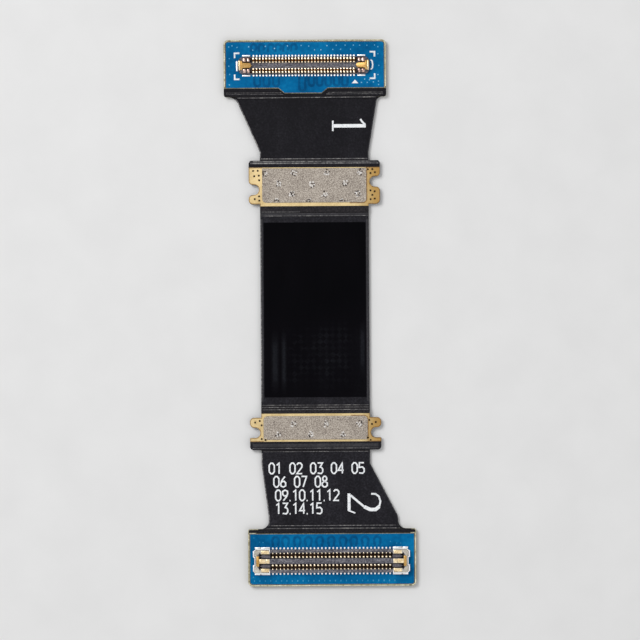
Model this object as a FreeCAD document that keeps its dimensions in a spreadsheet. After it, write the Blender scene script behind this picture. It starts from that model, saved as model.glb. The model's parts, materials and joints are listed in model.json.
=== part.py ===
import FreeCAD, Part
import math
import os
import re
import Sketcher

# A flat flex cable that joins two boards: one long flexible ribbon, a rigid board with a fine pitch
# connector at each end, and two gold ground pads with side ears on the way between them.
# Each ground pad is a stiff body with a channel in its underside for the ribbon and a strip that closes it.
# The cable lies flat with its connectors up, long way along Y, the plug board at +Y.
# Stations along the cable are measured down from its +Y end, and x from the ribbon's own axis.

Vector = FreeCAD.Vector
doc = FreeCAD.newDocument("flex_cable")
sheet = doc.addObject("Spreadsheet::Sheet", "Sizes")
sizes = [
    # Lengths along the cable
    ("upper_board_length", 5.27),
    ("upper_neck_length", 5.91),
    ("upper_pad_length", 4.23),
    ("middle_length", 19.2),
    ("lower_pad_length", 3.37),
    ("lower_neck_length", 7.33),
    ("lower_board_length", 5.3),
    # Layers through the thickness
    ("mask_thickness", 0.03),
    ("ply_thickness", 0.16),
    ("ribbon_thickness", 0.16),
    ("film_thickness", 0.02),
    ("patch_thickness", 0.05),
    # Ribbon
    ("flex_width", 10.06),
    ("window_border", 0.3),
    ("window_margin", 1.5),
    # Boards
    ("upper_board_width", 15.03),
    ("upper_board_shift", -0.817),
    ("lower_board_width", 15.57),
    ("lower_board_shift", 1.465),
    ("board_corner", 0.42),
    ("shoulder_corner", 0.2),
    ("rim_width", 0.2),
    ("mask_gap", 0.07),
    ("upper_mask_length", 4.43),
    ("tab_depth", 0.47),
    ("tab_slope", 0.57),
    ("tab_width", 3.42),
    ("tab_shift", -0.17),
    ("lower_band_length", 0.4),
    # Necks
    ("upper_neck_left", 7.31),
    ("upper_neck_right", 5.87),
    ("upper_taper_length", 5.13),
    ("upper_fillet_left", 1.0),
    ("upper_fillet_right", 0.55),
    ("lower_neck_left", 4.39),
    ("lower_neck_right", 7.6),
    ("lower_taper_start", 1.29),
    ("lower_taper_end", 6.22),
    ("lower_fillet", 0.75),
    ("lower_bend", 1.2),
    ("board_ledge", 0.12),
    ("lower_ledge", 0.19),
    ("ledge_thickness", 0.05),
    ("ledge_inset", 0.1),
    # Ground pads
    ("pad_width", 12.15),
    ("pad_corner", 0.32),
    ("ear_corner", 0.35),
    ("lobe_corner", 0.38),
    ("notch_radius", 0.475),
    ("notch_inset", 0.48),
    ("upper_band_length", 0.64),
    ("upper_ear_length", 4.04),
    ("upper_left_notch", 2.7),
    ("upper_right_notch", 1.97),
    ("lower_ear_start", 0.38),
    ("lower_gold_length", 2.61),
    ("lower_notch", 1.78),
    ("pad_lip", 0.2),
    ("pad_apron", 0.56),
    ("lower_apron", 0.41),
    ("pad_ledge", 0.37),
    ("lower_lip", 0.12),
    ("patch_width", 9.66),
    ("patch_corner", 0.37),
    ("upper_patch_gap", 0.07),
    ("upper_patch_length", 3.2),
    ("lower_patch_gap", 0.23),
    ("lower_patch_length", 2.2),
    # Plug
    ("contact_count", 32),
    ("plug_shift", -0.1),
    ("plug_station", 2.39),
    ("plug_pitch", 0.3),
    ("plug_metal", 0.06),
    ("plug_contact_width", 0.15),
    ("plug_row_margin", 0.3),
    ("plug_end_length", 1.15),
    ("plug_width", 1.62),
    ("plug_corner", 0.55),
    ("plug_floor", 0.11),
    ("plug_skirt_height", 0.3),
    ("plug_skirt", 0.08),
    ("plug_ridge_height", 0.49),
    ("plug_ridge_top", 0.12),
    ("plug_channel", 0.42),
    ("plug_tip", 0.24),
    ("plug_reach", 0.985),
    ("plug_block_length", 0.95),
    ("plug_block_width", 1.0),
    ("plug_block_height", 0.42),
    ("hold_tongue_width", 0.48),
    ("hold_tongue_length", 0.8),
    ("hold_tip", 0.13),
    ("hold_bar_length", 0.28),
    ("hold_bar_width", 0.92),
    ("hold_arm_root", 0.12),
    ("hold_arm_width", 0.16),
    ("hold_arm_count", 2),
    ("hold_arm_pitch", 0.36),
    ("hold_arm_start", 0.1),
    ("hold_foot_length", 0.75),
    ("hold_foot_reach", 0.97),
    ("fit_clearance", 0.01),
    # Socket
    ("socket_shift", -0.07),
    ("socket_station", 2.35),
    ("socket_pitch", 0.35),
    ("socket_metal", 0.07),
    ("socket_contact_width", 0.16),
    ("socket_row_margin", 0.225),
    ("socket_end_length", 1.48),
    ("socket_width", 2.14),
    ("socket_height", 0.56),
    ("socket_wall", 0.3),
    ("socket_island", 0.48),
    ("socket_end_wall", 0.44),
    ("socket_end_depth", 0.34),
    ("socket_groove", 0.06),
    ("socket_reach", 1.24),
    ("socket_riser", 0.12),
    ("socket_spring", 0.09),
    ("socket_bump", 0.05),
    ("frame_metal", 0.07),
    ("frame_length", 1.52),
    ("frame_chamfer", 0.2),
    ("frame_recess", 0.09),
    ("frame_recess_width", 0.68),
    ("frame_bar", 0.5),
    ("frame_bar_width", 0.92),
    ("frame_arm", 0.49),
    ("frame_tongue_width", 0.42),
    ("frame_nick", 0.18),
    ("frame_foot", 0.12),
    ("frame_foot_gap", 0.1),
    ("frame_foot_corner", 0.5),
]
for row, (name, value) in enumerate(sizes, 1):
    sheet.set(f"A{row}", name)
    sheet.set(f"B{row}", str(value))
    sheet.setAlias(f"B{row}", name)
doc.recompute()


def bound(formula):
    """The formula with each size named as a cell of the sheet."""
    return re.sub(r"[a-z]\w+", lambda word: "Sizes." + word.group(), formula)


def number(formula):
    return float(sheet.evalExpression(formula))


def minus(formula):
    return f"-({formula})"


# Stations along the cable, from its +Y end
UPPER_SHOULDER = "upper_board_length"
UPPER_PAD_TOP = f"{UPPER_SHOULDER} + upper_neck_length"
UPPER_GOLD_TOP = f"{UPPER_PAD_TOP} + upper_band_length"
UPPER_EAR_END = f"{UPPER_PAD_TOP} + upper_ear_length"
UPPER_PAD_END = f"{UPPER_PAD_TOP} + upper_pad_length"
LOWER_PAD_TOP = f"{UPPER_PAD_END} + middle_length"
LOWER_EAR_TOP = f"{LOWER_PAD_TOP} + lower_ear_start"
LOWER_GOLD_END = f"{LOWER_PAD_TOP} + lower_gold_length"
LOWER_PAD_END = f"{LOWER_PAD_TOP} + lower_pad_length"
LOWER_SHOULDER = f"{LOWER_PAD_END} + lower_neck_length"
CABLE_END = f"{LOWER_SHOULDER} + lower_board_length"

# Edges across the cable, from the ribbon's axis
FLEX_EDGE = "flex_width / 2"
PAD_EDGE = "pad_width / 2"
UPPER_LEFT = "upper_board_shift - upper_board_width / 2"
UPPER_RIGHT = "upper_board_shift + upper_board_width / 2"
LOWER_LEFT = "lower_board_shift - lower_board_width / 2"
LOWER_RIGHT = "lower_board_shift + lower_board_width / 2"
UPPER_TAPER_END = f"{UPPER_SHOULDER} + upper_taper_length"
LOWER_TAPER_START = f"{LOWER_PAD_END} + lower_taper_start"
LOWER_TAPER_END = f"{LOWER_PAD_END} + lower_taper_end"

# The origin is below the middle of the whole cable's extent
AXIS_X = f"-({LOWER_RIGHT} + {UPPER_LEFT}) / 2"
TOP_Y = f"({CABLE_END}) / 2"

# Levels, from the underside of the boards
BACK_PLY = "mask_thickness"
RIBBON = f"{BACK_PLY} + ply_thickness"
FRONT_PLY = f"{RIBBON} + ribbon_thickness"
FRONT_FINISH = f"{FRONT_PLY} + ply_thickness"
BOARD_FACE = f"{FRONT_FINISH} + mask_thickness"
PAD_DEPTH = "2 * ply_thickness + ribbon_thickness"


def new_body(label, across, along, level):
    """A body whose own origin is at the given formulas."""
    body = doc.addObject("PartDesign::Body", label)
    body.Label = label
    body.setExpression("Placement.Base.x", bound(across))
    body.setExpression("Placement.Base.y", bound(along))
    body.setExpression("Placement.Base.z", bound(level))
    return body


def layer(label, level):
    """A body of the laminate, drawn by stations from the +Y end."""
    return new_body(label, AXIS_X, TOP_Y, level)


def origin_feature(body, role):
    return next(item for item in body.Origin.OriginFeatures if item.Role == role)


def joint(previous, element, following):
    """Where the outline meets, rounds and leaves one of its corners."""
    if element[0] == "notch":
        start, end = notch_ends(element, previous)
        across, along, radius, side = (number(item) for item in element[1:])
        return start, Vector(across - side * radius, along, 0), end
    point = Vector(number(element[0]), number(element[1]), 0)
    if element[2] is None:
        return point, None, point
    to_previous = (previous - point).normalize()
    to_following = (following - point).normalize()
    half = to_previous.getAngle(to_following) / 2
    radius = number(element[2])
    reach = radius / math.tan(half)
    middle = point + (to_previous + to_following).normalize() * (radius / math.sin(half) - radius)
    return point + to_previous * reach, middle, point + to_following * reach


def notch_ends(element, previous):
    across, along, radius, _ = (number(item) for item in element[1:])
    upper = Vector(across, along + radius, 0)
    lower = Vector(across, along - radius, 0)
    if previous.distanceToPoint(upper) < previous.distanceToPoint(lower):
        return upper, lower
    return lower, upper


def upright_arc(start, middle, end):
    """The arc through three points, run anticlockwise, and whether that is from start to end."""
    turns_left = (middle - start).cross(end - middle).z > 0
    centre = Part.Circle(start, middle, end).Center
    circle = Part.Circle(centre, Vector(0, 0, 1), centre.distanceToPoint(start))
    first, last = (start, end) if turns_left else (end, start)
    angles = [math.atan2(point.y - centre.y, point.x - centre.x) for point in (first, last)]
    if angles[1] < angles[0]:
        angles[1] += 2 * math.pi
    return Part.ArcOfCircle(circle, *angles), turns_left


def anchors(outline):
    """The point at which the neighbours of each corner aim."""
    points = []
    for element in outline:
        if element[0] == "notch":
            points.append(notch_ends(element, points[-1][1]))
        else:
            point = Vector(number(element[0]), number(element[1]), 0)
            points.append((point, point))
    return points


class Rules:
    """The constraints of one sketch, gathered so that it is solved once."""

    def __init__(self, sketch):
        self.sketch = sketch
        self.first = sketch.ConstraintCount
        self.constraints = []
        self.formulas = []

    def tie(self, kind, *ends):
        self.constraints.append(Sketcher.Constraint(kind, *ends))
        self.formulas.append(None)

    def fix(self, kind, *ends_and_formula):
        formula = ends_and_formula[-1]
        self.constraints.append(Sketcher.Constraint(kind, *ends_and_formula[:-1], number(formula)))
        self.formulas.append(formula)

    def apply(self):
        self.sketch.addConstraint(self.constraints)
        for place, formula in enumerate(self.formulas, self.first):
            if formula is not None:
                self.sketch.setExpression(f"Constraints[{place}]", bound(formula))


def draw_outline(sketch, outline):
    """One closed outline of straight runs, rounded corners and half-round notches, all of it bound."""
    points = anchors(outline)
    count = len(outline)
    joints = []
    for place, element in enumerate(outline):
        previous = points[place - 1][1]
        following = points[(place + 1) % count][0]
        joints.append(joint(previous, element, following))
    rules = Rules(sketch)
    lines = []
    for place in range(count):
        start = joints[place][2]
        end = joints[(place + 1) % count][0]
        lines.append(sketch.addGeometry(Part.LineSegment(start, end), False))
    for place, element in enumerate(outline):
        entering = lines[place - 1]
        leaving = lines[place]
        if joints[place][1] is None:
            rules.tie("Coincident", entering, 2, leaving, 1)
            rules.fix("DistanceX", leaving, 1, element[0])
            rules.fix("DistanceY", leaving, 1, element[1])
            continue
        curve, turns_left = upright_arc(*joints[place])
        arc = sketch.addGeometry(curve, False)
        near, far = (1, 2) if turns_left else (2, 1)
        if element[0] == "notch":
            rules.tie("Coincident", entering, 2, arc, near)
            rules.tie("Coincident", arc, far, leaving, 1)
            rules.fix("DistanceX", arc, 3, element[1])
            rules.fix("DistanceY", arc, 3, element[2])
            rules.fix("Radius", arc, element[3])
            rules.fix("DistanceX", arc, 1, element[1])
            rules.fix("DistanceX", arc, 2, element[1])
            continue
        rules.tie("Tangent", entering, 2, arc, near)
        rules.tie("Tangent", arc, far, leaving, 1)
        rules.fix("Radius", arc, element[2])
        corner = sketch.addGeometry(Part.Point(points[place][0]), True)
        rules.tie("PointOnObject", corner, 1, entering)
        rules.tie("PointOnObject", corner, 1, leaving)
        rules.fix("DistanceX", corner, 1, element[0])
        rules.fix("DistanceY", corner, 1, element[1])
    rules.apply()


def new_sketch(body, name, outlines, plane="XY_Plane", lift="0"):
    sketch = body.newObject("Sketcher::SketchObject", f"{body.Label}_{name}")
    sketch.AttachmentSupport = [(origin_feature(body, plane), "")]
    sketch.MapMode = "FlatFace"
    if lift != "0":
        sketch.setExpression("AttachmentOffset.Base.z", bound(lift))
    for outline in outlines:
        draw_outline(sketch, outline)
    return sketch


def add_pad(body, name, outlines, length, plane="XY_Plane", lift="0", middle=False):
    sketch = new_sketch(body, name, outlines, plane, lift)
    pad = body.newObject("PartDesign::Pad", f"{sketch.Name}_pad")
    pad.Profile = sketch
    pad.Midplane = middle
    pad.setExpression("Length", bound(length))
    return pad


def add_pocket(body, name, outlines, depth, lift, upward=False):
    """Cuts down from the level, or up from it."""
    doc.recompute()
    before = body.Shape.Volume
    sketch = new_sketch(body, name, outlines, "XY_Plane", lift)
    pocket = body.newObject("PartDesign::Pocket", f"{sketch.Name}_pocket")
    pocket.Profile = sketch
    pocket.Reversed = upward
    pocket.setExpression("Length", bound(depth))
    doc.recompute()
    if not body.Shape.Volume < before:
        raise RuntimeError(f"{sketch.Name} cuts nothing")
    return pocket


def add_row(body, feature, pitch, count):
    """Repeats a feature along X, as many times as the count says."""
    row = body.newObject("PartDesign::LinearPattern", f"{feature.Name}_row")
    row.Originals = [feature]
    row.Direction = (origin_feature(body, "X_Axis"), [""])
    row.setExpression("Length", bound(f"({pitch}) * ({count} - 1)"))
    row.setExpression("Occurrences", bound(count))
    body.Tip = row
    return row


def rectangle(left, right, top, bottom, top_corner=None, bottom_corner=None):
    """A rectangle by the formulas of its sides, going down the right side first."""
    return [
        (right, top, top_corner),
        (right, bottom, bottom_corner),
        (left, bottom, bottom_corner),
        (left, top, top_corner),
    ]


def whole(right_side, left_side):
    """An outline from two sides that both run down the cable."""
    return right_side + left_side[::-1]


# Sides of the cable, from the top down
def eared_side(side, top, notch, bottom, corners):
    """One side of a ground pad: an ear, a half-round notch, and the ear or foot below it."""
    edge = f"{side} * ({PAD_EDGE})"
    body_edge = f"{side} * ({FLEX_EDGE})"
    return [
        (body_edge, minus(top), None),
        (edge, minus(top), corners[0]),
        (edge, minus(f"{notch} - notch_radius"), corners[1]),
        ("notch", f"{side} * ({PAD_EDGE} - notch_inset)", minus(notch), "notch_radius", side),
        (edge, minus(f"{notch} + notch_radius"), corners[2]),
        (edge, minus(bottom), corners[3]),
        (body_edge, minus(bottom), None),
    ]


def upper_eared_side(side):
    notch = "upper_right_notch" if side == "1" else "upper_left_notch"
    corners = ("pad_corner", "ear_corner", "lobe_corner", "lobe_corner")
    return eared_side(side, UPPER_PAD_TOP, f"{UPPER_PAD_TOP} + {notch}", UPPER_EAR_END, corners)


def lower_eared_side(side):
    corners = ("lobe_corner", "lobe_corner", None, "pad_corner")
    return eared_side(side, LOWER_EAR_TOP, f"{LOWER_PAD_TOP} + lower_notch", LOWER_PAD_END, corners)


def upper_board_side(side):
    edge = UPPER_RIGHT if side == "1" else UPPER_LEFT
    neck = "upper_neck_right" if side == "1" else "upper_neck_left"
    fillet = "upper_fillet_right" if side == "1" else "upper_fillet_left"
    return [
        (edge, "0", "board_corner"),
        (edge, minus(UPPER_SHOULDER), "shoulder_corner"),
        (f"{side} * {neck}", minus(UPPER_SHOULDER), fillet),
    ]


def lower_board_side(side):
    edge = LOWER_RIGHT if side == "1" else LOWER_LEFT
    neck = "lower_neck_right" if side == "1" else "lower_neck_left"
    return [
        (f"{side} * {neck}", minus(LOWER_TAPER_END), "lower_bend"),
        (f"{side} * {neck}", minus(LOWER_SHOULDER), "lower_fillet"),
        (edge, minus(LOWER_SHOULDER), "shoulder_corner"),
        (edge, minus(CABLE_END), "board_corner"),
    ]


def make_ribbon():
    """One ribbon from end to end: wide board ends, tapered necks and the straight middle."""
    body = layer("flex_ribbon", RIBBON)
    sides = []
    for side in ("1", "-1"):
        edge = f"{side} * {FLEX_EDGE}"
        tapers = [(edge, minus(UPPER_TAPER_END), None), (edge, minus(LOWER_TAPER_START), None)]
        sides.append(upper_board_side(side) + tapers + lower_board_side(side))
    add_pad(body, "outline", [whole(*sides)], "ribbon_thickness")
    return body


def make_window_film():
    body = layer("window_film", FRONT_PLY)
    edge = f"{FLEX_EDGE} - window_border"
    top = minus(f"{UPPER_PAD_END} + window_margin")
    bottom = minus(f"{LOWER_PAD_TOP} - window_margin")
    add_pad(body, "outline", [rectangle(minus(edge), edge, top, bottom)], "film_thickness")
    return body


# Boards
def make_ply(label, level, left, right, top, bottom, corners):
    """A rigid laminate with its own pair of top corners and pair of bottom corners."""
    body = layer(label, level)
    add_pad(body, "outline", [rectangle(left, right, top, bottom, *corners)], "ply_thickness")
    return body


def make_board_plies():
    """The laminates above and below the ribbon at each board."""
    plies = []
    for side, level in (("front", FRONT_PLY), ("back", BACK_PLY)):
        upper = (UPPER_LEFT, UPPER_RIGHT, "0", minus(UPPER_SHOULDER))
        lower = (LOWER_LEFT, LOWER_RIGHT, minus(LOWER_SHOULDER), minus(CABLE_END))
        corners = ("board_corner", "shoulder_corner")
        plies.append(make_ply(f"upper_board_{side}_ply", level, *upper, corners))
        plies.append(make_ply(f"lower_board_{side}_ply", level, *lower, corners[::-1]))
    return plies


def add_ledge(body, name, neck, stations, depth):
    """A step of film from the board's face down onto the neck."""
    left = f"{neck[0]} + ledge_inset"
    right = f"{neck[1]} - ledge_inset"
    area = rectangle(left, right, minus(stations[0]), minus(stations[1]))
    add_pad(body, name, [area], depth, lift="-ply_thickness")


def tab_outline(level):
    """The sloped tab in the lower edge of the upper mask, from right to left, at a station."""
    tab = "upper_board_shift + tab_shift"
    return [
        (f"{tab} + tab_width / 2 + tab_slope", minus(level), None),
        (f"{tab} + tab_width / 2", minus(f"{level} + tab_depth"), None),
        (f"{tab} - tab_width / 2", minus(f"{level} + tab_depth"), None),
        (f"{tab} - tab_width / 2 - tab_slope", minus(level), None),
    ]


def make_upper_mask(label, level):
    body = layer(label, level)
    right = f"{UPPER_RIGHT} - rim_width"
    left = f"{UPPER_LEFT} + rim_width"
    outline = (
        [(right, "-rim_width", "board_corner - rim_width"), (right, "-upper_mask_length", None)]
        + tab_outline("upper_mask_length")
        + [(left, "-upper_mask_length", None), (left, "-rim_width", "board_corner - rim_width")]
    )
    add_pad(body, "outline", [outline], "mask_thickness")
    return body


def band_outline():
    """The full width band under the mask, with the tab's outline in its upper edge."""
    start = "upper_mask_length + mask_gap"
    return (
        [
            (UPPER_LEFT, minus(start), None),
            (UPPER_LEFT, minus(UPPER_SHOULDER), "shoulder_corner"),
            (UPPER_RIGHT, minus(UPPER_SHOULDER), "shoulder_corner"),
            (UPPER_RIGHT, minus(start), None),
        ]
        + tab_outline(start)
    )


def make_upper_band():
    """The band of film and its ledge on the neck."""
    body = layer("upper_board_coverlay", FRONT_FINISH)
    add_pad(body, "outline", [band_outline()], "mask_thickness")
    neck = ("-upper_neck_left", "upper_neck_right")
    stations = (UPPER_SHOULDER, f"{UPPER_SHOULDER} + board_ledge")
    add_ledge(body, "ledge", neck, stations, "ply_thickness - ledge_thickness")
    return body


def make_lower_mask(label, level):
    body = layer(label, level)
    right = f"{LOWER_RIGHT} - rim_width"
    left = f"{LOWER_LEFT} + rim_width"
    top = minus(f"{LOWER_SHOULDER} + lower_band_length + mask_gap")
    bottom = minus(f"{CABLE_END} - rim_width")
    outline = rectangle(left, right, top, bottom, None, "board_corner - rim_width")
    add_pad(body, "outline", [outline], "mask_thickness")
    return body


def make_lower_band():
    """The band of film and its two ledges on the neck."""
    body = layer("lower_board_coverlay", FRONT_FINISH)
    bottom = minus(f"{LOWER_SHOULDER} + lower_band_length")
    outline = rectangle(LOWER_LEFT, LOWER_RIGHT, minus(LOWER_SHOULDER), bottom, "shoulder_corner")
    add_pad(body, "outline", [outline], "mask_thickness")
    neck = ("-lower_neck_left", "lower_neck_right")
    start = f"{LOWER_SHOULDER} - 2 * lower_ledge"
    middle = f"{LOWER_SHOULDER} - lower_ledge"
    add_ledge(body, "low_ledge", neck, (start, middle), "ply_thickness - 2 * ledge_thickness")
    add_ledge(body, "high_ledge", neck, (middle, LOWER_SHOULDER), "ply_thickness - ledge_thickness")
    return body


# Ground pads
def lower_top(body, name, first, last, depth):
    """Lowers the top of a pad's body between two stations."""
    area = rectangle("-pad_width", "pad_width", minus(first), minus(last))
    add_pocket(body, name, [area], depth, PAD_DEPTH)


def eared_body(label, outline, apron_start, apron_end):
    """A pad's stiff body: full depth ears, and a channel under its middle for the ribbon and the strip."""
    body = layer(label, BACK_PLY)
    add_pad(body, "outline", [outline], PAD_DEPTH)
    channel = rectangle(minus(FLEX_EDGE), FLEX_EDGE, minus(apron_start), minus(apron_end))
    add_pocket(body, "channel", [channel], "ply_thickness + ribbon_thickness", "0", True)
    return body


def make_upper_pad_body():
    lip = f"{UPPER_PAD_TOP} - pad_lip"
    end = f"{UPPER_PAD_END} + pad_apron + pad_ledge"
    sides = []
    for side in ("1", "-1"):
        edge = f"{side} * {FLEX_EDGE}"
        sides.append([(edge, minus(lip), None)] + upper_eared_side(side) + [(edge, minus(end), None)])
    body = eared_body("upper_pad_body", whole(*sides), f"{lip} - pad_lip", f"{end} + pad_lip")
    ledge = "ply_thickness - ledge_thickness"
    lower_top(body, "lip", f"{lip} - pad_lip", UPPER_PAD_TOP, ledge)
    lower_top(body, "ledge", f"{UPPER_PAD_END} + pad_apron", f"{end} + pad_lip", ledge)
    return body


def make_lower_pad_body():
    lip = f"{LOWER_PAD_END} + lower_lip"
    start = f"{LOWER_PAD_TOP} - lower_apron - 2 * pad_lip"
    sides = []
    for side in ("1", "-1"):
        edge = f"{side} * {FLEX_EDGE}"
        sides.append([(edge, minus(start), None)] + lower_eared_side(side) + [(edge, minus(lip), None)])
    body = eared_body("lower_pad_body", whole(*sides), f"{start} - pad_lip", f"{lip} + pad_lip")
    low = "ply_thickness - ledge_thickness"
    high = "ply_thickness - 2 * ledge_thickness"
    before = f"{start} - pad_lip"
    lower_top(body, "low", before, f"{LOWER_PAD_TOP} - lower_apron - pad_lip", low)
    lower_top(body, "high", before, f"{LOWER_PAD_TOP} - lower_apron", high)
    lower_top(body, "lip", LOWER_PAD_END, f"{lip} + pad_lip", low)
    return body


def make_pad_strips():
    """The strips that close the channels under the ribbon, flush with the bodies' undersides."""
    edges = (minus(FLEX_EDGE), FLEX_EDGE)
    upper = layer("upper_pad_back_strip", BACK_PLY)
    outline = rectangle(*edges, minus(UPPER_PAD_TOP), minus(f"{UPPER_PAD_END} + pad_apron"))
    add_pad(upper, "outline", [outline], "ply_thickness")
    lower = layer("lower_pad_back_strip", BACK_PLY)
    outline = rectangle(*edges, minus(f"{LOWER_PAD_TOP} - lower_apron"), minus(LOWER_PAD_END))
    add_pad(lower, "outline", [outline], "ply_thickness")
    return [upper, lower]


def make_upper_plating():
    body = layer("upper_pad_plating", FRONT_FINISH)
    sides = []
    for side in ("1", "-1"):
        edge = f"{side} * ({PAD_EDGE})"
        top = [(edge, minus(UPPER_GOLD_TOP), None)]
        bottom = [(f"{side} * {FLEX_EDGE}", minus(UPPER_PAD_END), None)]
        sides.append(top + upper_eared_side(side)[2:] + bottom)
    add_pad(body, "outline", [whole(*sides)], "mask_thickness")
    return body


def make_lower_plating():
    body = layer("lower_pad_plating", FRONT_FINISH)
    sides = []
    for side in ("1", "-1"):
        top = [(f"{side} * {FLEX_EDGE}", minus(LOWER_PAD_TOP), None)]
        bottom = [(f"{side} * ({PAD_EDGE})", minus(LOWER_GOLD_END), None)]
        sides.append(top + lower_eared_side(side)[:5] + bottom)
    add_pad(body, "outline", [whole(*sides)], "mask_thickness")
    return body


def make_pad_bands():
    upper = layer("upper_pad_coverlay", FRONT_FINISH)
    edges = (minus(PAD_EDGE), PAD_EDGE)
    outline = rectangle(*edges, minus(UPPER_PAD_TOP), minus(UPPER_GOLD_TOP), "pad_corner")
    add_pad(upper, "outline", [outline], "mask_thickness")
    lower = layer("lower_pad_coverlay", FRONT_FINISH)
    outline = rectangle(*edges, minus(LOWER_GOLD_END), minus(LOWER_PAD_END), None, "pad_corner")
    add_pad(lower, "outline", [outline], "mask_thickness")
    return [upper, lower]


def make_patches():
    edges = ("-patch_width / 2", "patch_width / 2")
    upper = layer("upper_ground_patch", BOARD_FACE)
    top = f"{UPPER_GOLD_TOP} + upper_patch_gap"
    outline = rectangle(*edges, minus(top), minus(f"{top} + upper_patch_length"), None, "patch_corner")
    add_pad(upper, "outline", [outline], "patch_thickness")
    lower = layer("lower_ground_patch", BOARD_FACE)
    top = f"{LOWER_PAD_TOP} + lower_patch_gap"
    outline = rectangle(*edges, minus(top), minus(f"{top} + lower_patch_length"), "patch_corner")
    add_pad(lower, "outline", [outline], "patch_thickness")
    return [upper, lower]


# Plug, drawn from its own middle, on the upper board's face
PLUG_X = f"{AXIS_X} + upper_board_shift + plug_shift"
PLUG_Y = f"{TOP_Y} - plug_station"
PLUG_EDGE = "plug_width / 2"
PLUG_FLOOR = "plug_metal + plug_floor"
PLUG_RIDGE_OUTER = f"{PLUG_EDGE} - plug_skirt - plug_metal"
PLUG_ROW_START = "-plug_pitch * (contact_count - 1) / 2"
PLUG_RIDGE_END = f"(plug_row_margin - ({PLUG_ROW_START}))"
PLUG_END = f"({PLUG_RIDGE_END} + plug_end_length)"


def make_plug_housing():
    """A floor with a low skirt, two sloped ridges for the contacts and a block at each end."""
    body = new_body("plug_housing", PLUG_X, PLUG_Y, BOARD_FACE)
    edges = (minus(PLUG_END), PLUG_END, PLUG_EDGE, minus(PLUG_EDGE))
    floor = rectangle(*edges, "plug_corner", "plug_corner")
    add_pad(body, "floor", [floor], "plug_floor", lift="plug_metal")
    inner = f"{PLUG_EDGE} - plug_skirt"
    inner_end = f"{PLUG_END} - plug_skirt"
    corner = "plug_corner - plug_skirt"
    hollow = rectangle(minus(inner_end), inner_end, inner, minus(inner), corner, corner)
    add_pad(body, "skirt", [floor, hollow], f"plug_skirt_height - ({PLUG_FLOOR})", lift=PLUG_FLOOR)
    ridges = []
    for side in ("1", "-1"):
        ridges.append(
            [
                (f"{side} * ({PLUG_RIDGE_OUTER})", PLUG_FLOOR, None),
                (f"{side} * ({PLUG_RIDGE_OUTER})", "plug_ridge_height", None),
                (f"{side} * ({PLUG_RIDGE_OUTER} - plug_ridge_top)", "plug_ridge_height", None),
                (f"{side} * plug_channel", PLUG_FLOOR, None),
            ]
        )
    add_pad(body, "ridges", ridges, f"2 * {PLUG_RIDGE_END}", "YZ_Plane", middle=True)
    blocks = []
    for side in ("1", "-1"):
        outer = f"{side} * ({inner_end})"
        nearer = f"{side} * ({inner_end} - plug_block_length)"
        blocks.append(rectangle(outer, nearer, "plug_block_width / 2", "-plug_block_width / 2"))
    add_pad(body, "blocks", blocks, f"plug_block_height - ({PLUG_FLOOR})", lift=PLUG_FLOOR)
    row_end = f"({PLUG_ROW_START} - plug_contact_width / 2 - fit_clearance)"
    slots = []
    for side in ("1", "-1"):
        outer = f"{side} * ({PLUG_RIDGE_OUTER} + plug_metal)"
        slots.append(rectangle(row_end, f"-{row_end}", f"{side} * ({PLUG_RIDGE_OUTER})", outer))
    add_pocket(body, "slots", slots, "plug_floor", PLUG_FLOOR)
    return body


def make_plug_contacts(label, side):
    """A row of bent strips: tail on the board, riser through the floor, and over the ridge."""
    body = new_body(label, f"{PLUG_X} + {PLUG_ROW_START}", PLUG_Y, BOARD_FACE)
    outer = f"{PLUG_RIDGE_OUTER} + plug_metal"
    profile = [
        ("plug_reach", "0", None),
        ("plug_reach", "plug_metal", None),
        (outer, "plug_metal", None),
        (outer, "plug_ridge_height", None),
        (f"{PLUG_RIDGE_OUTER}", "plug_ridge_height + plug_metal", None),
        (f"{PLUG_RIDGE_OUTER} - plug_ridge_top", "plug_ridge_height + plug_metal", None),
        ("plug_tip", PLUG_FLOOR, None),
        ("plug_channel", PLUG_FLOOR, None),
        (f"{PLUG_RIDGE_OUTER} - plug_ridge_top", "plug_ridge_height", None),
        (PLUG_RIDGE_OUTER, "plug_ridge_height", None),
        (PLUG_RIDGE_OUTER, "0", None),
    ]
    profile = [(f"{side} * ({across})", level, corner) for across, level, corner in profile]
    contact = add_pad(body, "profile", [profile], "plug_contact_width", "YZ_Plane", middle=True)
    add_row(body, contact, "plug_pitch", "contact_count")
    return body


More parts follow.
